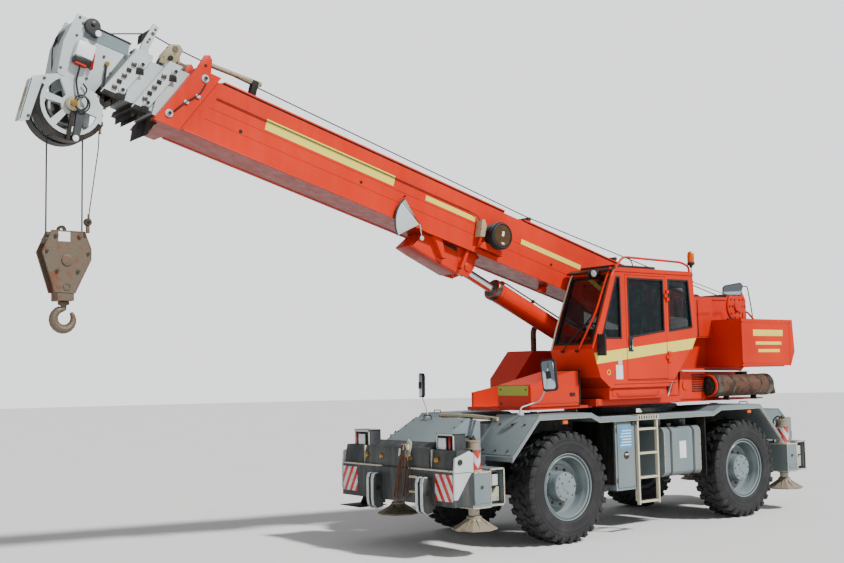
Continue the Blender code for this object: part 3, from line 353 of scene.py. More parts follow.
class Piece:
    """Collects the shapes of one object, in metres from the slewing axis or in frame_matrix's axes."""

    def __init__(self, name, frame_matrix=None, bevel=0.004):
        self.name = name
        self.bm = bmesh.new()
        self.slots = []
        self.bevel = bevel
        self.matrix = Matrix.Translation((SLEW_X, 0, 0)) @ (frame_matrix or Matrix.Identity(4))

    def keep(self, part, material, bevel=None, turn=None):
        """Adds a scratch bmesh in one material, its hard edges rounded."""
        width = self.bevel if bevel is None else bevel
        bmesh.ops.remove_doubles(part, verts=part.verts, dist=1e-6)
        bmesh.ops.recalc_face_normals(part, faces=part.faces)
        if width:
            hard = [e for e in part.edges if len(e.link_faces) == 2 and e.calc_face_angle() > radians(40)]
            shortest = min((e.calc_length() for e in part.edges), default=1.0)
            bmesh.ops.bevel(part, geom=hard, offset=min(width, shortest * 0.3), segments=2,
                affect="EDGES", profile=0.6)
        if material not in self.slots:
            self.slots.append(material)
        matrix = self.matrix @ turn if turn else self.matrix
        bmesh.ops.transform(part, matrix=matrix, verts=part.verts)
        scratch = bpy.data.meshes.new("scratch")
        for face in part.faces:
            face.material_index = self.slots.index(material)
        part.to_mesh(scratch)
        part.free()
        self.bm.from_mesh(scratch)
        bpy.data.meshes.remove(scratch)

    def prism(self, outline, low, high, material, axis="Y", bevel=None, turn=None):
        """An outline pushed along an axis: (x, z) along Y, (y, z) along X, (x, y) along Z."""

        def place(p, t):
            return {"Y": (p[0], t, p[1]), "X": (t, p[0], p[1]), "Z": (p[0], p[1], t)}[axis]

        part = bmesh.new()
        ends = [[part.verts.new(place(p, t)) for p in outline] for t in (low, high)]
        count = len(outline)
        for k in range(count):
            part.faces.new((ends[0][k], ends[0][(k + 1) % count], ends[1][(k + 1) % count], ends[1][k]))
        part.faces.new(ends[0])
        part.faces.new(ends[1])
        self.keep(part, material, bevel, turn)

    def box(self, x, y, z, material, bevel=None, turn=None):
        self.prism([(x[0], z[0]), (x[1], z[0]), (x[1], z[1]), (x[0], z[1])], y[0], y[1], material, "Y",
            bevel, turn)

    def lathe(self, profile, centre, axis, material, sides=32, turn=None, closed=False):
        """A profile of (radius, along) points turned about an axis, sharp only where it bends sharply."""
        part = bmesh.new()
        order = {"X": (2, 0, 1), "Y": (1, 2, 0), "Z": (0, 1, 2)}[axis]
        rings = []
        for radius, along in profile:
            ring = []
            for k in range(sides if radius > 1e-6 else 1):
                angle = 2 * pi * k / sides
                flat = (radius * cos(angle), radius * sin(angle), along)
                ring.append(part.verts.new([flat[order[i]] + centre[i] for i in range(3)]))
            rings.append(ring)
        for one, two in zip(rings, rings[1:] + ([rings[0]] if closed else [])):
            for k in range(sides):
                a, b = one[k % len(one)], one[(k + 1) % len(one)]
                c, d = two[(k + 1) % len(two)], two[k % len(two)]
                corners = [v for i, v in enumerate((a, b, c, d)) if v not in (a, b, c, d)[:i]]
                if len(corners) > 2:
                    part.faces.new(corners)
        self.keep(part, material, 0, turn)

    def disc(self, radius, height, centre, axis, material, sides=32, turn=None):
        self.lathe([(0, 0), (radius, 0), (radius, height), (0, height)], centre, axis, material, sides,
            turn)

    def tube(self, points, radius, material, sides=10, turn=None):
        """A round bar or hose through points, its bends smoothed by the points given."""
        part = bmesh.new()
        path = [Vector(p) for p in points]
        rings = []
        normal = None
        for k, point in enumerate(path):
            ahead = (path[min(k + 1, len(path) - 1)] - path[max(k - 1, 0)]).normalized()
            if normal is None:
                normal = ahead.orthogonal().normalized()
            normal = (normal - ahead * normal.dot(ahead)).normalized()
            side = ahead.cross(normal)
            thick = radius[k] if isinstance(radius, (list, tuple)) else radius
            around = [a * normal + b * side for a, b in circle(sides, 1.0)]
            rings.append([part.verts.new(point + thick * offset) for offset in around])
        for one, two in zip(rings, rings[1:]):
            for i in range(sides):
                part.faces.new((one[i], one[(i + 1) % sides], two[(i + 1) % sides], two[i]))
        part.faces.new(rings[0])
        part.faces.new(rings[-1])
        self.keep(part, material, 0, turn)

    def done(self, body=None, blend=None):
        """Makes the object; it rides on body, or, if blend is given, its place is baked into the mesh.

        blend: its two bodies and points are not used.
        """
        bmesh.ops.recalc_face_normals(self.bm, faces=self.bm.faces)
        mesh = bpy.data.meshes.new(self.name)
        self.bm.to_mesh(mesh)
        self.bm.free()
        for material in self.slots:
            mesh.materials.append(material)
        mesh.shade_smooth()
        mesh.set_sharp_from_angle(angle=radians(35))
        item = bpy.data.objects.new(self.name, mesh)
        bpy.context.scene.collection.objects.link(item)
        if body:
            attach(item, body)
        if blend:
            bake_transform(item)
        return item


def bent(points, radius, steps=5):
    """A path with its inner corners rounded, as a bent bar or hose has."""
    path = [Vector(p) for p in points]
    out = [path[0]]
    for before, corner, after in zip(path, path[1:], path[2:]):
        reach = min(radius, (before - corner).length * 0.45, (after - corner).length * 0.45)
        start = corner + (before - corner).normalized() * reach
        end = corner + (after - corner).normalized() * reach
        for k in range(steps + 1):
            t = k / steps
            out.append(start * (1 - t) ** 2 + corner * 2 * t * (1 - t) + end * t ** 2)
    return out + [path[-1]]


def repeated(name, places, item, material, seed=1, jitter=0.0):
    """Copies of a small object at places, each (point, turn, scale), as one plain mesh."""
    points = bpy.data.meshes.new(name + "_places")
    points.from_pydata([(p[0] + SLEW_X, p[1], p[2]) for p, _, _ in places], [], [])
    points.attributes.new("turn", "FLOAT_VECTOR", "POINT")
    points.attributes.new("size", "FLOAT", "POINT")
    points.attributes["turn"].data.foreach_set("vector", [v for _, turn, _ in places for v in turn])
    points.attributes["size"].data.foreach_set("value", [size for _, _, size in places])
    holder = bpy.data.objects.new(name, points)
    bpy.context.scene.collection.objects.link(holder)
    tree = bpy.data.node_groups.new(name, "GeometryNodeTree")
    tree.interface.new_socket("Places", in_out="INPUT", socket_type="NodeSocketGeometry")
    tree.interface.new_socket("Item", in_out="INPUT", socket_type="NodeSocketObject")
    tree.interface.new_socket("Finish", in_out="INPUT", socket_type="NodeSocketMaterial")
    tree.interface.new_socket("Size jitter", in_out="INPUT", socket_type="NodeSocketFloat")
    tree.interface.new_socket("Seed", in_out="INPUT", socket_type="NodeSocketInt")
    tree.interface.new_socket("Copies", in_out="OUTPUT", socket_type="NodeSocketGeometry")
    given = tree.nodes.new("NodeGroupInput")
    result = tree.nodes.new("NodeGroupOutput")
    shape = add(tree, "GeometryNodeObjectInfo", Object=given.outputs["Item"])
    turn = add(tree, "GeometryNodeInputNamedAttribute", {"data_type": "FLOAT_VECTOR"},
        Name="turn").outputs[0]
    size = add(tree, "GeometryNodeInputNamedAttribute", {"data_type": "FLOAT"}, Name="size").outputs[0]
    least = add(tree, "ShaderNodeMath", {"operation": "SUBTRACT"}, _0=1.0,
        _1=given.outputs["Size jitter"]).outputs[0]
    chance = tree.nodes.new("FunctionNodeRandomValue")
    chance.data_type = "FLOAT"
    tree.links.new(least, chance.inputs[2])
    chance.inputs[3].default_value = 1.0
    tree.links.new(given.outputs["Seed"], chance.inputs["Seed"])
    scale = add(tree, "ShaderNodeMath", {"operation": "MULTIPLY"}, _0=size, _1=chance.outputs[1]).outputs[0]
    copies = tree.nodes.new("GeometryNodeInstanceOnPoints")
    tree.links.new(given.outputs["Places"], copies.inputs["Points"])
    tree.links.new(shape.outputs["Geometry"], copies.inputs["Instance"])
    tree.links.new(turn, copies.inputs["Rotation"])
    tree.links.new(scale, copies.inputs["Scale"])
    real = tree.nodes.new("GeometryNodeRealizeInstances")
    tree.links.new(copies.outputs[0], real.inputs[0])
    painted = tree.nodes.new("GeometryNodeSetMaterial")
    tree.links.new(real.outputs[0], painted.inputs["Geometry"])
    tree.links.new(given.outputs["Finish"], painted.inputs["Material"])
    tree.links.new(painted.outputs[0], result.inputs[0])
    modifier = holder.modifiers.new("copies", "NODES")
    modifier.node_group = tree
    sockets = {s.name: s.identifier for s in tree.interface.items_tree if s.in_out == "INPUT"}
    modifier[sockets["Item"]] = item
    modifier[sockets["Finish"]] = material
    modifier[sockets["Size jitter"]] = jitter
    modifier[sockets["Seed"]] = seed
    holder.update_tag()
    bpy.context.view_layer.update()
    plain = bpy.data.meshes.new_from_object(holder.evaluated_get(bpy.context.evaluated_depsgraph_get()))
    holder.modifiers.remove(modifier)
    holder.data = plain
    bpy.data.meshes.remove(points)
    plain.shade_smooth()
    plain.set_sharp_from_angle(angle=radians(35))
    return holder


def pattern(piece):
    """Sets a Piece to be drawn about its own zero, for an object to copy."""
    piece.matrix = Matrix.Identity(4)
    return piece


def hex_bolt(name="hex_bolt"):
    """An M20 bolt head on a washer, standing along +Z on its own origin."""
    bolt = pattern(Piece(name, bevel=0.0015))
    bolt.disc(0.021, 0.003, (0, 0, 0), "Z", steel, 20)
    bolt.prism(circle(6, 0.016), 0.003, 0.016, steel, "Z")
    return bolt.done()


bolt_head = hex_bolt()
UP = (0.0, 0.0, 0.0)
OUT_LEFT = (-pi / 2, 0.0, 0.0)
OUT_RIGHT = (pi / 2, 0.0, 0.0)
OUT_FRONT = (0.0, pi / 2, 0.0)
OUT_BACK = (0.0, -pi / 2, 0.0)


def bolts(name, body, points, turn=UP, size=1.0):
    """Bolt heads at points on one body."""
    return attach(repeated(name, [(p, turn, size) for p in points], bolt_head, steel, seed=4,
        jitter=0.06), body)


def undercarriage():
    shafts = Piece("propeller_shafts")
    for low, high in ((0.95, 1.72), (-1.72, -0.95)):
        shafts.tube([(low + 0.05, 0.06, 0.77), (high - 0.05, 0.06, 0.77)], 0.045, black, 20)
        for x in (low, high):
            shafts.lathe([(0, -0.05), (0.07, -0.05), (0.07, -0.03), (0.05, -0.02), (0.05, 0.02),
                (0.07, 0.03), (0.07, 0.05), (0, 0.05)], (x, 0.06, 0.77), "X", steel, 20)
    for x in (-2.6, -1.25, 1.25, 2.6):
        shafts.box((x - 0.03, x + 0.03), (-0.44, 0.44), (0.90, 1.0), dark)
    for x in (1.935, -1.935):
        for side in (1, -1):
            shafts.tube([(x + 0.13, side * 0.50, 0.80), (x + 0.13, side * 0.47, 1.25)], 0.03, black, 14)
            shafts.tube([(x + 0.13, side * 0.495, 0.86), (x + 0.13, side * 0.48, 1.08)], 0.045, red, 14)
            shafts.tube(bent([(x - 0.13, side * 0.52, 0.86), (x - 0.2, side * 0.5, 1.05),
                (x - 0.3, side * 0.44, 1.1)], 0.08), 0.012, plastic, 8)
    shafts.done("carrier")
    hoses = Piece("frame_hoses")
    for k in range(5):
        z = 1.42 - 0.035 * k
        hoses.tube(bent([(-2.7, 0.445 + 0.01 * (k % 2), z), (-0.9, 0.45, z - 0.02),
            (0.2, 0.445, z + 0.01), (1.05, 0.45, z), (2.95, 0.448, z - 0.06)], 0.2), 0.013, plastic, 8)
        hoses.tube(bent([(-2.7, -0.445, z), (-0.9, -0.45, z - 0.02), (1.05, -0.45, z),
            (2.95, -0.448, z - 0.06)], 0.2), 0.013, plastic, 8)
    hoses.done("carrier")
    for side, turn in ((1, OUT_LEFT), (-1, OUT_RIGHT)):
        bolts("frame_bolts_%s" % ("left" if side > 0 else "right"), "carrier",
            [(x, side * 0.421, z) for x in (-2.5, -2.3, -1.4, -1.1, 1.1, 1.4, 2.3, 2.5)
            for z in (1.1, 1.5)], turn)
    panels = Piece("wheel_arch_panels")
    for side in (1, -1):
        panels.box((1.005, 1.025), (0.425, 1.19) if side > 0 else (-1.19, -0.425), (0.70, 1.585), black)
        panels.box((-1.02, -1.0), (0.425, 1.19) if side > 0 else (-1.19, -0.425), (0.70, 1.585), black)
    panels.done("carrier")


undercarriage()

# ---- wheels -------------------------------------------------------------------------------------
# Cross-ply off-road tyres: a vulcanised carcass with rows of deep interlocking lugs on its crown.
# Rolled and welded disc rims, bolted with ten nuts round the planetary hub, sprayed grey.


LUGS = 30  # pitches of tread round a tyre
WHEEL_Z = 0.7475  # height of the wheels' centres


def lug_pitch():
    """One pitch of the tread at the top of a tyre: shoulder and crown lugs of both halves."""
    lugs = pattern(Piece("lug_pitch", bevel=0.004))
    for side, lag in ((1, 0.0), (-1, pi / LUGS)):
        turn = Matrix.Rotation(lag, 4, "Y")
        crown = [(-0.062, 0.006), (-0.004, 0.006), (0.022, 0.05), (0.052, 0.096), (-0.008, 0.096),
            (-0.034, 0.05)]
        shoulder = [(-0.036, 0.110), (0.038, 0.110), (0.046, 0.15), (0.034, 0.208), (-0.040, 0.208),
            (-0.046, 0.15)]
        lugs.prism([(x, side * y) for x, y in crown], 0.70, 0.7462, rubber, "Z", turn=turn)
        lugs.prism([(x, side * y) for x, y in shoulder], 0.695, 0.742, rubber, "Z", turn=turn)
        lugs.box((-0.026, 0.026), ordered(side * 0.196, side * 0.2135), (0.655, 0.715), rubber, turn=turn)
    return lugs.done()


tread = lug_pitch()


def wheel(corner, x, side):
    body = corner + "_wheel"
    centre = (x, side * 1.0, WHEEL_Z)
    lugs = repeated(corner + "_tread", [(centre, (0.0, 2 * pi * k / LUGS, 0.0), 1.0)
        for k in range(LUGS)], tread, rubber)
    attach(lugs, body)
    carcass = Piece(corner + "_carcass")
    half = [(0.4215, 0.178), (0.4508, 0.18), (0.458, 0.194), (0.47, 0.200), (0.475, 0.207),
        (0.50, 0.2105), (0.53, 0.2135), (0.575, 0.2145), (0.579, 0.2165), (0.587, 0.2165),
        (0.591, 0.2145), (0.628, 0.211), (0.632, 0.2125), (0.640, 0.2120), (0.644, 0.208),
        (0.675, 0.2035), (0.703, 0.193), (0.719, 0.176), (0.7225, 0.12), (0.7235, 0.0)]
    profile = half + [(r, -y) for r, y in reversed(half[:-1])]
    carcass.lathe(profile, centre, "Y", rubber, 96, closed=True)
    item = carcass.done(body)
    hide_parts(corner + "_tyre")
    disc = Piece(corner + "_wheel_disc")
    outer = [(0.449, 0.177), (0.4515, 0.184), (0.447, 0.1895), (0.438, 0.1895), (0.431, 0.183),
        (0.424, 0.171), (0.412, 0.167), (0.405, 0.172), (0.398, 0.172), (0.391, 0.164), (0.388, 0.13),
        (0.372, 0.105), (0.366, 0.07), (0.362, 0.02), (0.352, -0.004), (0.335, -0.012), (0.296, -0.012),
        (0.288, -0.002), (0.212, -0.002), (0.206, -0.006), (0.204, 0.035), (0.199, 0.040),
        (0.197, 0.128), (0.190, 0.138), (0.176, 0.142), (0.150, 0.142), (0.146, 0.1455), (0.06, 0.1455),
        (0.055, 0.150), (0, 0.150)]
    inner = [(0, -0.03), (0.21, -0.03), (0.29, -0.045), (0.34, -0.045), (0.372, -0.02), (0.390, -0.06),
        (0.402, -0.168), (0.43, -0.176), (0.447, -0.1885), (0.4515, -0.184), (0.449, -0.177),
        (0.4205, -0.172), (0.4205, 0.172)]
    disc.lathe([(r, side * y) for r, y in outer + inner], centre, "Y", grey, 72, closed=True)
    disc.tube([(x + 0.30, side * 1.02, 0.66), (x + 0.315, side * 1.08, 0.653)], 0.008, steel, 8)
    disc = disc.done(body)
    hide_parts(corner + "_rim")
    turn = OUT_LEFT if side > 0 else OUT_RIGHT
    ring = [(x + a, side * 0.998, WHEEL_Z + b) for a, b in circle(10, 0.242, 0.2)]
    nuts = repeated(corner + "_wheel_nuts", [(p, turn, 1.15) for p in ring], bolt_head, rusty, seed=2,
        jitter=0.08)
    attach(nuts, body)
    small = [(x + a, side * 1.142, WHEEL_Z + b) for a, b in circle(8, 0.166)]
    small += [(x + 0.09 * cos(a), side * 1.1455, WHEEL_Z + 0.09 * sin(a)) for a in (0.6, 2.3, 4.4)]
    bolts(corner + "_hub_bolts", body, small, turn, 0.55)


for corner, x, side in (("front_left", 1.935, 1), ("front_right", 1.935, -1), ("rear_left", -1.935, 1),
        ("rear_right", -1.935, -1)):
    wheel(corner, x, side)

# ---- outriggers ---------------------------------------------------------------------------------
# Welded box beams that slide in cross tubes; each ends in a jack whose upright tube carries
# red and white reflective sheeting. Hoses feed the jack's head, and a ribbed pad swivels below.


def striped_sheet(name, first, second, count, wrapped):
    """Reflective sheeting in slanted bands: by its own UVs round a tube, or by place on a flat panel."""
    material, tree, shader, place = surface(name)
    if wrapped:
        axes = add(tree, "ShaderNodeSeparateXYZ", Vector=add(tree, "ShaderNodeUVMap").outputs[0]).outputs
        sideways = add(tree, "ShaderNodeMath", {"operation": "PINGPONG"}, _0=axes[0], _1=0.25).outputs[0]
        slant = add(tree, "ShaderNodeMath", {"operation": "MULTIPLY_ADD"}, _0=sideways, _1=0.85,
            _2=axes[1]).outputs[0]
    else:
        axes = add(tree, "ShaderNodeSeparateXYZ", Vector=place).outputs
        sideways = add(tree, "ShaderNodeMath", {"operation": "ABSOLUTE"}, _0=axes[1]).outputs[0]
        slant = add(tree, "ShaderNodeMath", {"operation": "MULTIPLY_ADD"}, _0=sideways, _1=1.7,
            _2=axes[2]).outputs[0]
    band = add(tree, "ShaderNodeMath", {"operation": "FRACT"},
        _0=add(tree, "ShaderNodeMath", {"operation": "MULTIPLY"}, _0=slant,
        _1=count).outputs[0]).outputs[0]
    band = add(tree, "ShaderNodeMath", {"operation": "GREATER_THAN"}, _0=band, _1=0.5).outputs[0]
    stripes = add(tree, "ShaderNodeMix", {"data_type": "RGBA"}, Factor=band)
    stripes.inputs[6].default_value = linear(first)
    stripes.inputs[7].default_value = linear(second)
    scuff = add(tree, "ShaderNodeTexNoise", Vector=place, Scale=16.0, Detail=10.0,
        Roughness=0.72).outputs["Fac"]
    scuff = add(tree, "ShaderNodeMapRange", Value=scuff, From_Min=0.54, From_Max=0.66,
        To_Max=0.75).outputs[0]
    worn = add(tree, "ShaderNodeMix", {"data_type": "RGBA"}, Factor=scuff)
    tree.links.new(stripes.outputs[2], worn.inputs[6])
    worn.inputs[7].default_value = linear("#8d8778")
    tree.links.new(worn.outputs[2], shader.inputs["Base Color"])
    cells = add(tree, "ShaderNodeTexVoronoi", Vector=place, Scale=170.0).outputs["Distance"]
    tree.links.new(add(tree, "ShaderNodeBump", Height=cells, Strength=0.2, Distance=0.001).outputs[0],
        shader.inputs["Normal"])
    shader.inputs["Roughness"].default_value = 0.32
    return material


jack_sheeting = striped_sheet("reflective_jack_sheeting", "#c9cdcf", "#c81d14", 4.6, True)
panel_sheeting = striped_sheet("reflective_panel_sheeting", "#cfd4d8", "#c4140f", 4.4, False)
brass = worked_metal("dull_brass", "#b08b4a", "#94713a", rusty=0.35, gloss=0.35)
edging = enamel("worn_pale_edges", "#c9c5b2", "#a9a28c", dusty=0.5, chipped=0.6)


def tube_uv(item, x, y):
    """UVs round an upright tube: turns by height in metres."""
    layer = item.data.uv_layers.new(name="UVMap")
    for loop in item.data.loops:
        point = item.data.vertices[loop.vertex_index].co
        layer.data[loop.index].uv = (atan2(point.y - y, point.x - SLEW_X - x) / (2 * pi) + 0.5, point.z)


def outrigger(corner, x, side, end, low, high):
    body = corner + "_outrigger"
    y = side * 1.0
    sleeve = Piece(corner + "_jack_sleeve")
    sleeve.lathe([(0.0955, 1.075), (0.0978, 1.075), (0.0978, 1.315), (0.0955, 1.315)], (x, y, 0), "Z",
        jack_sheeting, 48, closed=True)
    sleeve = sleeve.done(body)
    tube_uv(sleeve, x, y)
    top = Piece(corner + "_jack_top")
    top.lathe([(0.096, 1.052), (0.118, 1.052), (0.118, 1.07), (0.096, 1.074)], (x, y, 0), "Z", edging,
        40, closed=True)
    top.lathe([(0.0955, 1.318), (0.106, 1.32), (0.106, 1.345), (0.0955, 1.35), (0.0955, 1.415),
        (0.103, 1.42), (0.103, 1.438), (0.096, 1.445), (0.0, 1.449)], (x, y, 0), "Z", pad_metal, 40)
    top.box((x - 0.03, x + 0.03), (y - 0.03, y + 0.03), (1.445, 1.475), black)
    for k in (-1, 1):
        path = bent([(x + 0.02 * k, y, 1.46), (x + 0.05 * k, y - side * 0.03, 1.50),
            (x + 0.075 * k, y - side * 0.11, 1.44), (x + 0.06 * k, y - side * 0.13, 1.12),
            (x + 0.05 * k, y - side * 0.15, 1.05)], 0.05)
        top.tube(path, 0.011, plastic, 8)
        top.lathe([(0.016, 0), (0.016, 0.03), (0, 0.03)], (x + 0.02 * k, y, 1.45), "Z", brass, 6)
    top.done(body)
    bolts(corner + "_jack_bolts", body, [(x + a, y + b, 1.438) for a, b in circle(8, 0.085)], UP, 0.6)
    trim = Piece(corner + "_housing_trim", bevel=0.002)
    outer = side * 1.17
    for z in (0.60, 1.038):
        trim.box((low - 0.004, high + 0.004), ordered(side * 0.83, outer + side * 0.004),
            (z - 0.004, z + 0.016), edging)
    for edge in (low, high):
        for mark in (side * 0.835, outer):
            trim.box((edge - 0.006, edge + 0.006), ordered(mark - side * 0.006, mark + side * 0.005),
                (0.60, 1.05), edging)
    trim.box((low + 0.03, high - 0.03), ordered(outer, outer + side * 0.006), (0.66, 0.70), grey)
    trim.lathe([(0.0, 0), (0.022, 0), (0.022, 0.01), (0.012, 0.014), (0, 0.014)], (0, 0, 0), "Y", steel,
        20, Matrix.Translation(((low + high) / 2, outer, 0.86)) @ outward(side))
    trim.prism([(x - 0.05, 0.62), (x + 0.05, 0.62), (x + 0.03, 0.555), (x - 0.03, 0.555)], y - 0.05,
        y + 0.05, rusty)
    trim.done(body)
    face = end * max(abs(low), abs(high))
    plate = Piece(corner + "_warning_plate", bevel=0.0)
    mark = y + side * 0.03
    front = face + end * 0.001
    plate.prism([(mark - 0.035, 0.80), (mark + 0.035, 0.80), (mark, 0.87)],
        min(front, front + end * 0.002), max(front, front + end * 0.002), brass, "X")
    plate.prism([(mark - 0.022, 0.806), (mark + 0.022, 0.806), (mark, 0.853)],
        min(front, front + end * 0.003), max(front, front + end * 0.003), black, "X")
    plate.done(body)
    foot = Piece(corner + "_pad_ribs", bevel=0.002)
    for k in range(8):
        turn = Matrix.Translation((x, y, 0)) @ Matrix.Rotation(2 * pi * (k + 0.5) / 8, 4, "Z")
        foot.prism([(0.066, 0.475), (0.085, 0.475), (0.262, 0.352), (0.262, 0.343), (0.10, 0.345)],
            -0.007, 0.007, pad_metal, "Y", None, turn)
    foot.lathe([(0.066, 0.46), (0.098, 0.46), (0.098, 0.485), (0.078, 0.50), (0.066, 0.50)], (x, y, 0),
        "Z", pad_metal, 32, closed=True)
    foot.lathe([(0.283, 0.325), (0.294, 0.327), (0.294, 0.345), (0.283, 0.35)], (x, y, 0), "Z",
        pad_metal, 8, closed=True)
    foot.lathe([(0.06, 0.5), (0.069, 0.5), (0.069, 0.575), (0.06, 0.575)], (x, y, 0), "Z", edging, 32,
        closed=True)
    foot.done(corner + "_leg")


outrigger("front_left", 3.45, 1, 1, 3.305, 3.60)
outrigger("front_right", 3.155, -1, 1, 3.02, 3.275)
outrigger("rear_left", -3.26, 1, -1, -3.38, -3.125)
outrigger("rear_right", -3.555, -1, -1, -3.705, -3.41)


def tube_ends():
    """Rubbing strips at the mouths of the cross tubes, and the stop plates on the tails of the beams."""
    mouths = Piece("tube_mouths", bevel=0.003)
    for centre, ends in ((3.175, (1, -1)), (3.44, (1, -1)), (-3.28, (1, -1)), (-3.545, (1, -1))):
        for side in ends:
            y = ordered(side * 1.13, side * 1.152)
            own = (centre in (3.44, -3.28) and side > 0) or (centre in (3.175, -3.545) and side < 0)
            if own:
                continue
            for z in (0.606, 1.060):
                mouths.box((centre - 0.127, centre + 0.127), y, (z, z + 0.022), edging)
            for x in (centre - 0.127, centre + 0.105):
                mouths.box((x, x + 0.022), y, (0.606, 1.082), edging)
    mouths.done("carrier")
    for corner, centre, side in (("front_right", 3.175, -1), ("front_left", 3.44, 1),
            ("rear_left", -3.28, 1), ("rear_right", -3.545, -1)):
        tail = Piece(corner + "_beam_tail", bevel=0.003)
        y = -side * 1.05
        span = ordered(y, y - side * 0.012)
        tail.box((centre - 0.085, centre + 0.085), span, (0.65, 1.02), dark)
        tail.box((centre - 0.05, centre + 0.045), ordered(y, y - side * 0.05), (0.86, 1.00), pale)
        tail.prism([(centre - 0.08, 0.66), (centre + 0.08, 0.66), (centre + 0.08, 0.70),
            (centre - 0.04, 0.84), (centre - 0.08, 0.84)], *ordered(y - side * 0.01, y - side * 0.035),
            edging)
        tail.done(corner + "_outrigger")


tube_ends()

# ---- decks, fenders and mirrors -----------------------------------------------------------------
# Chequered and flat steel deck plates with folded edges, bolted over the wheels; amber marker
# lamps under the edge, grab bars on top, and road mirrors on bent steel arms at the front.

amber = moulded("amber_lamp_plastic", "#d65a08", "#e08020", gloss=0.15, dusty=0.2, depth=0.05)
mirror_glass = worked_metal("silvered_mirror", "#b9c4cc", "#a7b3bd", rusty=0.12, gloss=0.05)
tan = enamel("sun_bleached_tan_paint", "#b3a98c", "#94896d", dusty=0.5, chipped=0.6)


def deck_trims(side):
    name = "left" if side > 0 else "right"
    top = [(3.0, 1.206), (2.5, 1.725), (1.518, 1.725), (1.35, 1.65), (-1.15, 1.65), (-1.337, 1.725),
        (-2.332, 1.725), (-2.85, 1.2)]
    trim = Piece(name + "_deck_edge", bevel=0.002)
    outer = ordered(side * 1.2502, side * 1.256)
    under = [(x, z - 0.062) for x, z in top]
    for k in range(len(top) - 1):
        trim.prism([top[k], top[k + 1], under[k + 1], under[k]], *outer, grey, bevel=0.001)
        low = [(x, z - 0.006) for x, z in (under[k], under[k + 1])]
        trim.prism([under[k], under[k + 1], low[1], low[0]], *ordered(side * 1.22, side * 1.256),
            edging, bevel=0.001)
    for start, end in ((-1.1, 0.05), (0.66, 1.3)):
        trim.box((start, end), ordered(side * 1.13, side * 1.235), (1.650, 1.654), pale, 0.001)
    trim.done("carrier")
    ribs = []
    for i in range(52):
        for j in range(9):
            x = -1.1 + 0.0462 * i
            y = side * (0.56 + 0.07 * j)
            if abs(x) < 0.62 and abs(y) < 0.62:
                continue
            ribs.append(((x, y, 1.6495), (0, 0, 0.8 if (i + j) % 2 else -0.8), 1.0))
    chequer = pattern(Piece(name + "_chequer", bevel=0.0))
    chequer.prism([(-0.016, 0), (0, 0.0045), (0.016, 0), (0, -0.0045)], 0, 0.0028, grey, "Z")
    tread_mark = chequer.done()
    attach(repeated(name + "_chequer_plate", ribs, tread_mark, grey, seed=3), "carrier")
    bpy.data.objects.remove(tread_mark)
    plate = Piece(name + "_fender_plates", bevel=0.003)
    slope = Matrix.Translation((2.75, 0, 1.4655)) @ Matrix.Rotation(-atan2(0.519, -0.5) + pi, 4, "Y")
    plate.box((-0.33, 0.33), ordered(side * 0.50, side * 1.22), (0.001, 0.005), grey, 0.001, slope)
    back = Matrix.Translation((-2.591, 0, 1.4625)) @ Matrix.Rotation(-atan2(0.525, 0.518), 4, "Y")
    plate.box((-0.33, 0.33), ordered(side * 0.50, side * 1.22), (0.001, 0.005), grey, 0.001, back)
    for x0, x1 in ((1.56, 2.46), (-2.29, -1.38)):
        plate.box((x0, x1), ordered(side * 0.48, side * 1.2), (1.7252, 1.729), grey, 0.001)
        for x in (x0 + 0.08, x1 - 0.08):
            plate.tube(bent([(x, side * 0.95, 1.727), (x, side * 0.95, 1.762), (x, side * 1.10, 1.762),
                (x, side * 1.10, 1.727)], 0.02), 0.007, steel, 8)
    for x in (0.62, 2.02, -0.42, -2.04):
        z = 1.66 if abs(x) > 1.4 else 1.60
        plate.box((x - 0.055, x + 0.055), ordered(side * 1.222, side * 1.236), (z - 0.075, z - 0.01),
            black, 0.004)
    plate.done("carrier")
    lamps = Piece(name + "_marker_lamps", bevel=0.006)
    for x in (2.02, -2.04):
        lamps.box((x - 0.045, x + 0.045), ordered(side * 1.232, side * 1.255), (1.595, 1.640), amber)
    lamps.done("carrier")
    points = [(2.75 + 0.3 * a * 0.694, y, 1.4655 - 0.3 * a * 0.72 + 0.006) for a in (-0.6, 0.9)
        for y in (side * 0.62, side * 0.86, side * 1.10)]
    bolts(name + "_front_plate_bolts", "carrier", points, (0.0, 0.80, 0.0), 0.9)


for side in (1, -1):
    deck_trims(side)


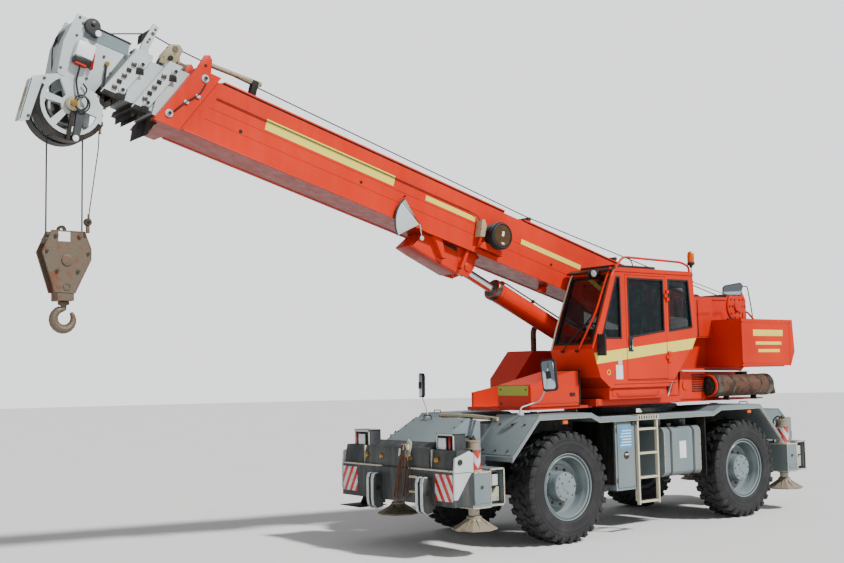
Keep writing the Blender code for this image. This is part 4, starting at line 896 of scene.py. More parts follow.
def road_mirrors():
    """One mirror on each front corner, leaning outwards on its arm; blank glass in a black shell."""
    for side, base, centre, width, height, lean in (
            (1, (2.60, 1.0, 1.727), (2.28, 1.235, 2.25), 0.22, 0.43, 0.10),
            (-1, (2.59, -1.0, 1.63), (2.56, -1.16, 2.13), 0.17, 0.36, 0.05)):
        name = ("left" if side > 0 else "right") + "_road_mirror"
        arm = Piece(name + "_arm")
        arm.lathe([(0, 0), (0.045, 0), (0.045, 0.02), (0.02, 0.035), (0.02, 0.07), (0, 0.07)], base,
            "Z", pale, 24)
        knee = (centre[0] + 0.01, base[1] + side * 0.06, base[2] + 0.18)
        arm.tube(bent([base, (base[0], base[1], base[2] + 0.10), knee,
            (centre[0] + 0.03, centre[1] - side * 0.02, centre[2] - height * 0.35),
            (centre[0] + 0.03, centre[1], centre[2] + height * 0.2)], 0.06), 0.0105, pale, 12)
        arm.done("carrier")
        turn = Matrix.Translation(centre) @ Matrix.Rotation(side * radians(18), 4,
            "Z") @ Matrix.Rotation(side * lean, 4, "X")
        head = Piece(name, bevel=0.012)
        shell = [(-width / 2, -height / 2 + 0.03), (-width / 2 + 0.03, -height / 2),
            (width / 2 - 0.03, -height / 2), (width / 2, -height / 2 + 0.03),
            (width / 2, height / 2 - 0.03), (width / 2 - 0.03, height / 2),
            (-width / 2 + 0.03, height / 2), (-width / 2, height / 2 - 0.03)]
        head.prism(shell, -0.022, 0.022, plastic, "X", turn=turn)
        head.prism([(y * 0.86, z * 0.92) for y, z in shell], -0.026, -0.020, mirror_glass, "X", 0.001, turn)
        head.prism([(y * 0.80, z * 0.88) for y, z in shell], 0.020, 0.025, mirror_glass, "X", 0.001, turn)
        head.box((0.015, 0.045), (-0.03, 0.03), (-0.05, 0.05), plastic, 0.004, turn)
        head.done("carrier")


road_mirrors()

# ---- front apron --------------------------------------------------------------------------------
# Folded and welded plate bumper in dark grey, with a sloping bonnet, headlamp boxes, towing
# plates, hazard panels, a towing eye and a wire rope sling hung over its peg.

lamp_glass = moulded("ribbed_lamp_glass", "#cfd6da", "#b5bcc0", gloss=0.08, dusty=0.15, grain=90.0,
    depth=0.6)
red_lens = moulded("red_lamp_plastic", "#8d0d0c", "#a02018", gloss=0.2, dusty=0.2, depth=0.1)
wire = worked_metal("brown_wire_rope", "#6e4a38", "#55382b", rusty=0.5, gloss=0.55, metallic=0.5,
    grain=(90.0, 90.0, 20.0))


def front_end():
    trim = Piece("front_apron_trim", bevel=0.004)
    face = 3.95
    for side in (1, -1):
        side_y = ordered(side * 0.85, side * 1.195)
        trim.box((face, face + 0.006), side_y, (0.715, 1.045), panel_sheeting, 0.001)
        a, b = side * 1.205, side * 1.23
        trim.prism([(3.66, 1.075), (3.955, 1.075), (3.96, 0.74), (3.90, 0.74), (3.70, 1.02)],
            *ordered(a, b), pale)
        trim.prism([(3.64, 1.06), (3.955, 1.06), (3.935, 1.25), (3.70, 1.33), (3.64, 1.30)],
            *ordered(a - side * 0.004, b), pale)
        trim.lathe([(0, -0.012), (0.035, -0.012), (0.035, 0.012), (0, 0.012)],
            (3.86, side * 1.232, 1.20), "Y", black, 24)
        trim.box((3.90, 3.952), ordered(side * 0.30, side * 1.20), (1.078, 1.10), edging)
        for y in (side * 0.30, side * 0.73):
            trim.box((3.875, 3.915), (y - 0.006, y + 0.006), (1.09, 1.34), edging)
        lamp = side * 0.91
        trim.box((3.815, 3.832), (lamp - 0.17, lamp + 0.17), (1.20, 1.225), pale)
        trim.box((3.815, 3.832), (lamp - 0.17, lamp + 0.17), (1.515, 1.54), pale)
        trim.box((3.815, 3.832), (lamp - 0.17, lamp - 0.15), (1.20, 1.54), pale)
        trim.box((3.815, 3.832), (lamp + 0.15, lamp + 0.17), (1.20, 1.54), pale)
        trim.box((3.815, 3.823), (lamp - 0.15, lamp + 0.15), (1.225, 1.515), black, 0.001)
        trim.box((3.823, 3.848), (lamp - side * 0.03 - 0.09, lamp - side * 0.03 + 0.09), (1.33, 1.50),
            black, 0.01)
        trim.box((3.84, 3.856), (lamp - side * 0.03 - 0.075, lamp - side * 0.03 + 0.075),
            (1.345, 1.485), lamp_glass, 0.008)
        trim.box((3.823, 3.845), (lamp + side * 0.105 - 0.018, lamp + side * 0.105 + 0.018),
            (1.33, 1.50), red_lens, 0.006)
        trim.box((3.64, 3.83), (lamp - 0.185, lamp + 0.185), (1.54, 1.548), grey)
    for y in (-0.35, -0.72, 0.35, 0.95):
        trim.lathe([(0, 0), (0.028, 0), (0.028, 0.01), (0.02, 0.016), (0.034, 0.024), (0.038, 0.038),
            (0.03, 0.052), (0, 0.056)], (3.895, y * 0.9, 1.215), "X", brass, 24)
    trim.box((3.62, 3.66), (-1.20, 1.20), (1.30, 1.345), dark)
    trim.done("carrier")
    hooks = Piece("towing_plates", bevel=0.003)
    for y in (-0.40, -0.30, 0.66, 0.76):
        hooks.prism([(3.94, 0.56), (4.04, 0.54), (4.085, 0.58), (4.098, 0.66), (4.098, 0.93),
            (4.08, 0.99), (4.02, 0.995), (3.945, 0.92)], y - 0.023, y + 0.023, dark)
        rim = [(3.94, 0.560), (4.04, 0.540), (4.085, 0.58), (4.098, 0.66), (4.098, 0.93), (4.08, 0.99),
            (4.02, 0.995)]
        for k in range(len(rim) - 1):
            (a, b), (c, d) = rim[k], rim[k + 1]
            grow = Vector((d - b, a - c)).normalized() * 0.010
            hooks.prism([(a + grow.x, b + grow.y), (c + grow.x, d + grow.y), (c, d), (a, b)],
                y - 0.0235, y + 0.0235, pale, bevel=0.0)
        hooks.lathe([(0, -0.027), (0.03, -0.027), (0.03, 0.027), (0, 0.027)], (4.03, y, 0.80), "Y",
            steel, 20)
    for y in (-0.35, 0.71):
        hooks.tube([(4.03, y - 0.07, 0.80), (4.03, y + 0.07, 0.80)], 0.018, steel, 16)
    hooks.done("carrier")
    eye = Piece("towing_eye", bevel=0.003)
    eye.tube(bent([(3.94, 0.45, 0.995), (4.06, 0.45, 0.995), (4.06, 0.62, 0.995), (4.06, 0.62, 0.81),
        (4.06, 0.45, 0.81), (3.94, 0.45, 0.81)], 0.03), 0.014, tan, 12)
    eye.box((3.95, 3.962), (0.41, 0.66), (0.78, 1.03), dark)
    eye.done("carrier")
    blade = Piece("lower_step_plate", bevel=0.003)
    blade.box((3.72, 4.16), (-0.98, -0.50), (0.536, 0.545), black)
    blade.prism([(3.74, 0.65), (3.80, 0.65), (3.86, 0.545), (3.74, 0.545)], -0.93, -0.90, black)
    blade.done("carrier")


front_end()


def sling():
    """A two-leg wire rope sling that hangs in long loops from a peg on the bonnet's edge."""
    peg = Piece("sling_peg", bevel=0.003)
    peg.tube([(3.86, 0.26, 1.36), (3.98, 0.26, 1.39)], 0.022, steel, 16)
    peg.box((3.95, 3.985), (0.21, 0.34), (1.32, 1.40), edging)
    peg.prism([(0.20, 1.33), (0.30, 1.46), (0.37, 1.42), (0.33, 1.24), (0.28, 1.22)], 3.935, 3.95,
        edging, "X")
    peg.done("carrier")
    ropes = Piece("wire_rope_sling")
    for k, (left, right_end, low, front) in enumerate(((0.20, 0.04, 0.70, 4.02),
            (0.22, 0.24, 0.69, 4.04), (0.30, 0.32, 0.72, 4.0), (0.18, 0.13, 0.74, 4.03))):
        path = bent([(3.975, 0.25, 1.405), (3.99, left, 1.34), (front, left - 0.05 + 0.03 * k, 1.0),
            (front + 0.01, left - 0.04, low + 0.03), (front + 0.01, (left + right_end) / 2 - 0.02, low),
            (front, right_end + 0.04, low + 0.05), (front - 0.01, right_end + 0.10, 1.0),
            (3.99, 0.28, 1.33), (3.975, 0.26, 1.405)], 0.10, 8)
        ropes.tube(path, 0.0085, wire, 8)
    ropes.tube([(3.995, 0.19, 1.34), (4.0, 0.178, 1.24)], 0.017, pale, 12)
    ropes.tube([(3.995, 0.30, 1.32), (4.0, 0.31, 1.23)], 0.015, rusty, 12)
    ropes.done("carrier")


sling()


def bonnet():
    """The sloping bonnet over the front tubes: pressed cover, tan grab bar, small hooks and seams."""
    cover = Piece("front_bonnet", bevel=0.006)
    cover.prism([(3.055, 1.085), (3.905, 1.085), (3.905, 1.345), (3.255, 1.708), (3.055, 1.668)],
        -0.425, 0.705, grey)
    cover.prism([(3.93, 1.10), (3.93, 1.35), (3.80, 1.425), (3.72, 1.36), (3.72, 1.10)], -0.60, 0.712, dark)
    cover.box((3.25, 3.72), (0.705, 0.708), (1.12, 1.44), grey)
    cover.done("carrier")
    bar = Piece("bonnet_grab_bar")
    bar.tube([(3.19, 0.03, 1.735), (3.19, 0.72, 1.735), (3.15, 1.16, 1.70)], 0.026, tan, 20)
    bar.tube([(3.13, 0.30, 1.725), (3.13, 1.12, 1.70)], 0.02, tan, 20)
    for y in (0.10, 0.60, 1.10):
        bar.box((3.11, 3.21), (y - 0.02, y + 0.02), (1.66, 1.72), dark, 0.003)
    bar.tube(bent([(3.30, -0.18, 1.68), (3.30, -0.18, 1.735), (3.30, -0.02, 1.735),
        (3.30, -0.02, 1.68)], 0.03), 0.009, steel, 10)
    bar.done("carrier")
    bolts("bonnet_bolts", "carrier", [(3.33 + 0.13 * k, y, 1.664 - 0.0727 * k) for k in range(5)
        for y in (-0.38, 0.66)], (0.0, 0.51, 0.0), 0.7)
    panel = Piece("tube_cover_plates", bevel=0.004)
    for side in (1, -1):
        panel.prism([(3.06, 1.09), (3.62, 1.09), (3.62, 1.16), (3.30, 1.22), (3.06, 1.22)],
            *ordered(side * 0.74, side * 0.80), dark)
    panel.box((3.05, 3.30), (-0.80, -0.45), (1.085, 1.10), grey)
    panel.box((3.05, 3.62), (0.72, 0.80), (1.085, 1.10), grey)
    panel.done("carrier")


bonnet()

# ---- rear apron ---------------------------------------------------------------------------------
# The grey rear valance over the engine cooler: louvred panel, tail lamps, hazard panels, a pin
# hitch and blank number and hazard plates.


def rear_end():
    back = Piece("rear_apron_fittings", bevel=0.004)
    x = -3.85
    for k in range(9):
        z = 1.10 + 0.032 * k
        back.prism([(x, z), (x - 0.016, z - 0.018), (x - 0.016, z - 0.022), (x, z - 0.016)], -0.42,
            0.42, dark, "Y", 0.0)
    back.box((x - 0.012, x), (-0.46, 0.46), (1.055, 1.075), pale)
    back.box((x - 0.012, x), (-0.46, 0.46), (1.385, 1.405), pale)
    for side in (1, -1):
        back.box((x - 0.008, x), ordered(side * 0.50, side * 0.76), (0.70, 1.02), panel_sheeting, 0.001)
        back.box((x - 0.03, x), ordered(side * 0.49, side * 0.77), (1.10, 1.22), black, 0.01)
        for k, lens in enumerate((red_lens, amber, lamp_glass)):
            y = side * (0.54 + 0.09 * k)
            back.box((x - 0.045, x - 0.028), (y - 0.036, y + 0.036), (1.115, 1.205), lens, 0.008)
        back.box((x - 0.04, x), ordered(side * 0.12, side * 0.16), (0.66, 0.86), dark)
    back.box((x - 0.006, x), (-0.26, 0.26), (0.92, 1.03), pale, 0.001)
    back.box((x - 0.06, x), (-0.12, 0.12), (0.70, 0.82), dark)
    back.lathe([(0, 0.66), (0.022, 0.66), (0.022, 0.87), (0.034, 0.87), (0.034, 0.885), (0, 0.885)],
        (x - 0.04, 0, 0), "Z", steel, 20)
    for y in (-0.5, 0.5):
        back.tube(bent([(-3.4, y, 1.60), (-3.4, y, 1.64), (-3.2, y, 1.64), (-3.2, y, 1.60)], 0.03),
            0.009, steel, 10)
    back.prism([(-3.85, 1.42), (-3.62, 1.605), (-3.155, 1.605), (-3.155, 1.60), (-3.60, 1.595),
        (-3.845, 1.40)], -0.705, 0.705, grey)
    back.done("carrier")
    bolts("rear_apron_bolts", "carrier", [(x, y, z) for y in (-0.47, 0.47) for z in (1.09, 1.37)] +
        [(x, y, 0.68) for y in (-0.7, -0.3, 0.3, 0.7)], OUT_BACK, 0.8)


rear_end()

# ---- locker, ladder and tanks -------------------------------------------------------------------
# Folded sheet locker with a flush catch, a welded square-tube ladder with a punched tread at the
# deck, and two rolled steel tanks strapped under the walkways.

blue_sheet = moulded("blue_sticker_film", "#3f8fc0", "#6fa9cc", gloss=0.35, dusty=0.5)
white_sheet = moulded("white_sticker_film", "#e4e6e6", "#c9c8c2", gloss=0.35, dusty=0.3)


def side_fittings():
    locker = Piece("locker_fittings", bevel=0.004)
    locker.box((0.615, 0.965), (1.20, 1.212), (0.66, 1.56), grey, 0.006)
    locker.box((0.665, 0.925), (1.212, 1.2135), (1.20, 1.52), blue_sheet, 0.0)
    for k in range(6):
        locker.box((0.685, 0.905 - 0.02 * (k % 3)), (1.2135, 1.2145),
            (1.24 + 0.04 * k, 1.255 + 0.04 * k), white_sheet, 0.0)
    locker.lathe([(0, -0.002), (0.055, -0.002), (0.055, 0.005), (0.045, 0.008), (0, 0.008)],
        (0.79, 1.212, 1.105), "Y", black, 32)
    locker.box((0.75, 0.83), (1.216, 1.226), (1.105, 1.13), pale, 0.004)
    for z in (0.76, 1.46):
        locker.tube([(0.975, 1.205, z - 0.03), (0.975, 1.205, z + 0.03)], 0.009, steel, 12)
    locker.tube([(0.78, 1.1, 0.60), (0.78, 1.1, 0.63)], 0.012, brass, 10)
    locker.done("carrier")
    step = Piece("ladder_tread_plate", bevel=0.002)
    step.box((0.13, 0.585), (1.13, 1.262), (1.652, 1.66), cream)
    step.box((0.13, 0.585), (1.252, 1.262), (1.588, 1.66), cream)
    for k in range(8):
        x = 0.165 + 0.053 * k
        step.box((x, x + 0.028), (1.2615, 1.2635), (1.60, 1.645), dark, 0.0)
    for z in (0.42, 0.76, 1.10, 1.44):
        for k in range(9):
            x = 0.19 + 0.043 * k
            step.box((x, x + 0.012), (1.185, 1.235), (z + 0.0305, z + 0.0335), cream, 0.0)
    for x in (0.118, 0.564):
        step.box((x, x + 0.016), (1.17, 1.20), (0.45, 1.55), cream)
    step.done("carrier")
    for name, body_x, side in (("fuel_tank", (-0.885, -0.05), 1), ("hydraulic_tank", (-0.885, 0.90), -1)):
        tank = Piece(name + "_skin", bevel=0.0)
        outline = []
        for cy, cz, start in ((1.10, 1.36, 0), (0.57, 1.36, 90), (0.57, 0.83, 180), (1.10, 0.83, 270)):
            for k in range(7):
                a = radians(start + 15 * k)
                outline.append((side * (cy + 0.092 * cos(a)), cz + 0.092 * sin(a)))
        tank.prism(outline, body_x[0] - 0.002, body_x[1] + 0.002, grey, "X")
        wide = [(side * (y * side + (0.004 if y * side > 0.8 else -0.004)),
            z + (0.004 if z > 1.1 else -0.004)) for y, z in outline]
        for x in (body_x[0] + 0.14, body_x[1] - 0.18):
            tank.prism(wide, x, x + 0.045, dark, "X")
        for x in (body_x[0], body_x[1] - 0.012):
            tank.prism(wide, x, x + 0.012, edging, "X")
        middle = (body_x[0] + body_x[1]) / 2
        tank.box((middle - 0.075, middle + 0.075), ordered(side * 1.192, side * 1.196), (0.99, 1.24),
            white_sheet, 0.002)
        tank.lathe([(0.045, 1.44), (0.045, 1.475), (0.055, 1.475), (0.055, 1.50), (0, 1.505)],
            (middle + 0.12, side * 1.02, 0), "Z", steel, 24)
        for x in (body_x[0] + 0.16, body_x[1] - 0.16):
            tank.tube(bent([(x, side * 1.12, 0.76), (x, side * 1.12, 0.68),
                (x + 0.05, side * 1.06, 0.68), (x + 0.05, side * 1.06, 0.74)], 0.03), 0.013, black, 10)
        item = tank.done("carrier")


side_fittings()

# ---- turntable, counterweight and engine housings -----------------------------------------------
# Plate-built slewing frame with a cast counterweight hung on its tail; pressed steel covers over
# the machinery, held by hinges and lift-up catches; a lagged silencer lies along the cab side.

yellow = moulded("yellow_vinyl_stripe", "#e8d95a", "#cfc25a", gloss=0.35, dusty=0.35, depth=0.05)
# a darker, greener copy of the yellow stripe: painted shade for the stripe on a face turned away from the
# light
shaded_yellow_stripe = moulded("yellow_stripe_with_painted_shade", "#a7ad2e", "#8e9430", gloss=0.3, dusty=0.3, depth=0.2)
# black paint for real black parts and soot, also used for dark strips and patches that are painted shade
# and painted shadow
black_paint_and_painted_shade = enamel("scorched_black_paint_and_painted_shade", "#1b1613", "#120f0d", dusty=0.35, gloss=0.6)


def deck_machinery():
    side = "upper_works"
    plates = Piece("turntable_details", bevel=0.004)
    for y in (0.505, -0.505):
        s = 1 if y > 0 else -1
        plates.lathe([(0, 0), (0.245, 0), (0.25, 0.006), (0.25, 0.02), (0.235, 0.028), (0.10, 0.03),
            (0.085, 0.055), (0.06, 0.062), (0, 0.064)], (0, 0, 0), "Y", red, 48,
            Matrix.Translation((-2.84, y - s * 0.005, 3.32)) @ outward(s))
        plates.lathe([(0, 0), (0.13, 0), (0.13, 0.015), (0.10, 0.02), (0.07, 0.02), (0.07, 0.035),
            (0, 0.037)], (0, 0, 0), "Y", steel, 40, Matrix.Translation((-2.55, y - s * 0.005, 2.92)) @
            outward(s))
        wide = ordered(y, y + s * 0.012)
        for outline in ([(-1.00, 2.62), (-1.06, 2.62), (-1.19, 3.43), (-1.13, 3.43)],
                [(-1.13, 3.40), (-2.58, 3.42), (-2.58, 3.455), (-1.13, 3.44)]):
            plates.prism(outline, *wide, red)
    plates.box((-2.05, -1.25), (0.503, 0.63), (2.78, 3.42), red, 0.02)
    plates.box((-2.02, -1.28), (0.63, 0.636), (2.81, 3.39), red, 0.004)
    plates.box((-1.66, -1.64), (0.636, 0.640), (2.81, 3.39), black_paint_and_painted_shade, 0.0)
    # a dark patch low on the frame's side plate: painted shadow cast by the counterweight
    plates.box((-1.30, -1.12), (0.501, 0.504), (2.34, 2.62), black_paint_and_painted_shade, 0.0)
    plates.box((-1.14, -1.04), (0.503, 0.508), (2.72, 2.90), white_sheet, 0.002)
    plates.box((-1.20, -1.02), (0.503, 0.53), (2.95, 3.38), red, 0.01)
    plates.box((-0.12, 0.98), (1.161, 1.166), (1.93, 2.035), red, 0.002)
    plates.tube(bent([(-0.02, 1.163, 1.99), (0.02, 1.19, 1.945), (0.86, 1.19, 1.945),
        (0.90, 1.163, 1.99)], 0.03), 0.007, red, 8)
    plates.box((-0.60, 1.17), (1.051, 1.056), (1.81, 1.89), red, 0.001)
    plates.box((-0.66, 1.10), (0.6, 1.0), (1.902, 1.908), black_paint_and_painted_shade, 0.0)
    plates.done(side)
    for s, turn in ((1, OUT_LEFT), (-1, OUT_RIGHT)):
        ring = [(-2.84 + a, s * 0.527, 3.32 + b) for a, b in circle(10, 0.20)]
        ring += [(-2.84 + a, s * 0.53, 3.32 + b) for a, b in circle(6, 0.125)]
        ring += [(-2.55 + a, s * 0.517, 2.92 + b) for a, b in circle(6, 0.10)]
        bolts("winch_bolts_%d" % (s + 1), side, ring, turn, 0.8)
    bolts("slew_ring_bolts", side, [(x, y, 1.8195) for x, y in circle(36, 0.585)], UP, 0.8)
    weight = Piece("counterweight_details", bevel=0.006)
    for y in (0.90, -0.90):
        weight.tube(bent([(-2.46, y, 3.065), (-2.48, y, 3.20), (-2.60, y, 3.20), (-2.78, y, 3.065)],
            0.05), 0.016, red, 12)
    for y in (0.72, -0.72):
        weight.box((-3.41, -3.395), (y - 0.28, y + 0.28), (2.66, 2.80), panel_sheeting, 0.002)
        weight.box((-3.45, -3.38), (y - 0.10, y + 0.10), (2.86, 2.94), black, 0.012)
        weight.box((-3.455, -3.445), (y - 0.085, y + 0.085), (2.872, 2.928), red_lens, 0.004)
    for x in (-2.02, -3.30):
        weight.box((x, x + 0.02), (1.2005, 1.204), (2.36, 3.03), red, 0.001)
    for z in (2.36, 3.01):
        weight.box((-3.30, -2.0), (1.2005, 1.204), (z, z + 0.02), red, 0.001)
    weight.box((-3.10, -2.30), (1.2005, 1.2025), (2.80, 2.90), yellow, 0.001)
    weight.box((-3.05, -2.36), (1.2005, 1.2025), (2.66, 2.71), yellow, 0.001)
    weight.box((-3.0, -2.42), (1.2005, 1.2025), (2.54, 2.59), yellow, 0.001)
    for y in (0.82, -0.82):
        weight.lathe([(0.03, 0), (0.06, 0), (0.06, 0.03), (0.03, 0.03)], (-2.25, y, 3.068), "Z", steel,
            6, closed=True)
    weight.box((-3.2, -2.1), (1.06, 1.14), (2.306, 2.32), red)
    weight.done(side)
    covers = Piece("cover_details", bevel=0.004)
    # the yellow stripe on the nose cover's front face, in its darker copy: painted shade
    covers.prism([(0.35, 1.98), (0.945, 1.98), (0.945, 2.11), (0.35, 2.11)], 2.4, 2.404, shaded_yellow_stripe,
        "X", 0.0)
    covers.box((1.44, 2.38), (0.95, 0.956), (1.86, 2.09), red, 0.004)
    covers.box((1.52, 1.62), (0.956, 0.962), (1.95, 2.0), black, 0.003)
    # a dark slab at the back of the nose cover: painted shadow in the gap between the cover and the
    # turntable frame
    covers.prism([(1.40, 1.82), (1.44, 1.82), (1.44, 2.31), (1.40, 2.31)], 0.345, 0.955, black_paint_and_painted_shade, "Y", 0.002)
    covers.prism([(-0.39, 1.85), (-0.62, 2.28), (-0.72, 2.28), (-0.66, 1.85)], 0.60, 1.0, red, "Y", 0.004)
    covers.prism([(-0.372, 1.85), (-0.39, 1.85), (-0.62, 2.285), (-0.602, 2.285)], 0.96, 1.006,
        white_sheet, "Y", 0.001)
    covers.lathe([(0, 0), (0.07, 0), (0.07, 0.012), (0, 0.014)], (0, 0, 0), "Y", red, 24,
        Matrix.Translation((-0.82, 1.0, 2.05)))
    for k in range(8):
        z = 1.95 + 0.035 * k
        covers.prism([(-1.26, z), (-1.26, z + 0.016), (-0.98, z + 0.016), (-0.98, z)], 1.0, 1.008, black_paint_and_painted_shade,
            "Y", 0.0)
    for x0, x1 in ((-1.70, -0.90), (-0.85, -0.05), (0.0, 0.85)):
        covers.box((x0, x1), (-1.088, -1.08), (1.92, 2.56), red, 0.01)
        for k in range(9):
            z = 2.02 + 0.035 * k
            covers.prism([(x0 + 0.12, z), (x0 + 0.12, z + 0.018), (x1 - 0.12, z + 0.018),
                (x1 - 0.12, z)], -1.094, -1.087, black_paint_and_painted_shade, "Y", 0.0)
        covers.box(((x0 + x1) / 2 - 0.05, (x0 + x1) / 2 + 0.05), (-1.105, -1.088), (2.44, 2.48), black,
            0.005)
        for x in (x0 + 0.1, x1 - 0.1):
            covers.tube([(x, -1.085, 2.605), (x + 0.06, -1.085, 2.605)], 0.01, steel, 10)
    for k in range(12):
        x = -1.55 + 0.06 * k
        covers.box((x, x + 0.03), (-0.98, -0.62), (2.62, 2.626), black_paint_and_painted_shade, 0.0)
    covers.tube(bent([(0.55, -0.85, 2.62), (0.55, -0.85, 2.95), (0.45, -0.85, 3.05)], 0.08), 0.045,
        exhaust, 20)
    covers.lathe([(0.0, 0), (0.085, 0), (0.085, 0.10), (0.06, 0.13), (0, 0.14)], (-0.3, -0.85, 2.62),
        "Z", plastic, 32)
    covers.lathe([(0.0, 0), (0.05, 0), (0.05, 0.03), (0, 0.035)], (-1.72, -0.85, 2.62), "Z", steel, 24)
    covers.done(side)
    bolts("nose_cover_bolts", side, [(2.404, y, z) for y in (0.40, 0.90) for z in (1.87, 2.06)],
        OUT_FRONT, 0.7)


deck_machinery()


def silencer():
    can = Piece("silencer_fittings", bevel=0.003)
    at = (0, 1.05, 2.03)
    for x in (-1.40, -2.70):
        can.lathe([(0.17, x - 0.07), (0.1745, x - 0.07), (0.1745, x + 0.05), (0.17, x + 0.05)], at, "X",
            steel, 48, closed=True)
    for x in (-1.75, -2.45):
        can.lathe([(0.17, x - 0.018), (0.1735, x - 0.018), (0.1735, x + 0.018), (0.17, x + 0.018)], at,
            "X", steel, 48, closed=True)
        can.prism([(0.99, 1.80), (1.11, 1.80), (1.09, 1.86), (1.01, 1.86)], x - 0.02, x + 0.02, black, "X")
    can.lathe([(0, -1.296), (0.125, -1.296), (0.135, -1.30), (0.135, -1.285), (0.11, -1.275),
        (0.10, -1.262), (0.04, -1.262), (0.03, -1.25), (0, -1.25)], at, "X", black_paint_and_painted_shade, 40)
    can.lathe([(0.15, -1.32), (0.178, -1.32), (0.182, -1.30), (0.165, -1.285), (0.15, -1.285)], at, "X",
        red, 48, closed=True)
    can.tube(bent([(-2.78, 1.05, 2.03), (-2.92, 1.05, 2.03), (-2.97, 1.05, 1.88)], 0.08), 0.05, exhaust, 24)
    can.prism([(-2.26, 2.235), (-0.62, 2.262), (-0.62, 2.275), (-2.26, 2.25)], 0.90, 1.12, white_sheet)
    can.box((-2.27, -2.18), (0.92, 1.08), (2.14, 2.236), black_paint_and_painted_shade)
    can.box((-2.75, -1.35), (0.99, 1.02), (1.80, 1.815), red)
    can.box((-2.75, -1.30), (0.45, 1.0), (1.805, 1.82), red)
    can.done("upper_works")


silencer()

# ---- winch --------------------------------------------------------------------------------------
# A flanged steel drum between the frame's cheeks with several lays of greased wire rope on it.

greased = worked_metal("greased_wire_rope", "#3c3f45", "#24262b", rusty=0.4, gloss=0.35, metallic=0.7,
    grain=(140.0, 140.0, 140.0))


def winch():
    lays = Piece("rope_on_drum")
    profile = []
    count = 34
    for k in range(count):
        y = -0.345 + 0.69 * (k + 0.5) / count
        for a in (-0.42, 0.0, 0.42):
            profile.append((0.187 + 0.009 * cos(a * 2.4), y + 0.009 * a * 2))
    lays.lathe([(0.17, -0.356)] + profile + [(0.17, 0.356)], (-2.90, 0, 3.35), "Y", greased, 64)
    lays.done("winch")
    bolts("drum_bolts", "winch", [(-2.90 + a, 0.38, 3.35 + b) for a, b in circle(8, 0.21)], OUT_LEFT, 0.7)
    motor = Piece("winch_motor", bevel=0.004)
    motor.lathe([(0, 0), (0.075, 0), (0.075, 0.07), (0.06, 0.08), (0.06, 0.16), (0, 0.16)], (0, 0, 0),
        "Y", black, 32, Matrix.Translation((-2.90, -0.50, 3.35)) @ Matrix.Rotation(pi, 4, "Z"))
    for k in (-1, 1):
        motor.tube(bent([(-2.90 + 0.03 * k, -0.60, 3.35), (-2.88, -0.68, 3.25), (-2.70, -0.60, 3.10),
            (-2.45, -0.55, 2.98)], 0.08), 0.014, plastic, 10)
    motor.done("upper_works")


winch()

# ---- operator's cab -----------------------------------------------------------------------------
# Pressed and welded sheet steel cab: rubber-sealed safety glass, hinged door with a flush
# handle, guard rails of bent tube round the roof, wiper, work lamp, mirrors and a beacon.

seal = moulded("black_window_rubber", "#0e0f10", "#2c2c2b", gloss=0.55, dusty=0.25)


def inset(outline, distance):
    """An anticlockwise outline moved inwards."""
    moved = []
    count = len(outline)
    for k in range(count):
        a, b, c = (Vector(outline[(k + step) % count]) for step in (-1, 0, 1))
        one = Vector((-(b - a).y, (b - a).x)).normalized()
        two = Vector((-(c - b).y, (c - b).x)).normalized()
        lean = (one + two).normalized()
        moved.append(tuple(b + lean * distance / lean.dot(one)))
    return moved


def bead(piece, outline, inner, outer, low, high, material, axis="Y", turn=None):
    """A strip round an anticlockwise outline, from inner to outer distance from it."""
    a, b = inset(outline, inner), inset(outline, -outer)
    for k in range(len(outline)):
        n = (k + 1) % len(outline)
        piece.prism([a[k], a[n], b[n], b[k]], low, high, material, axis, 0.0015, turn)


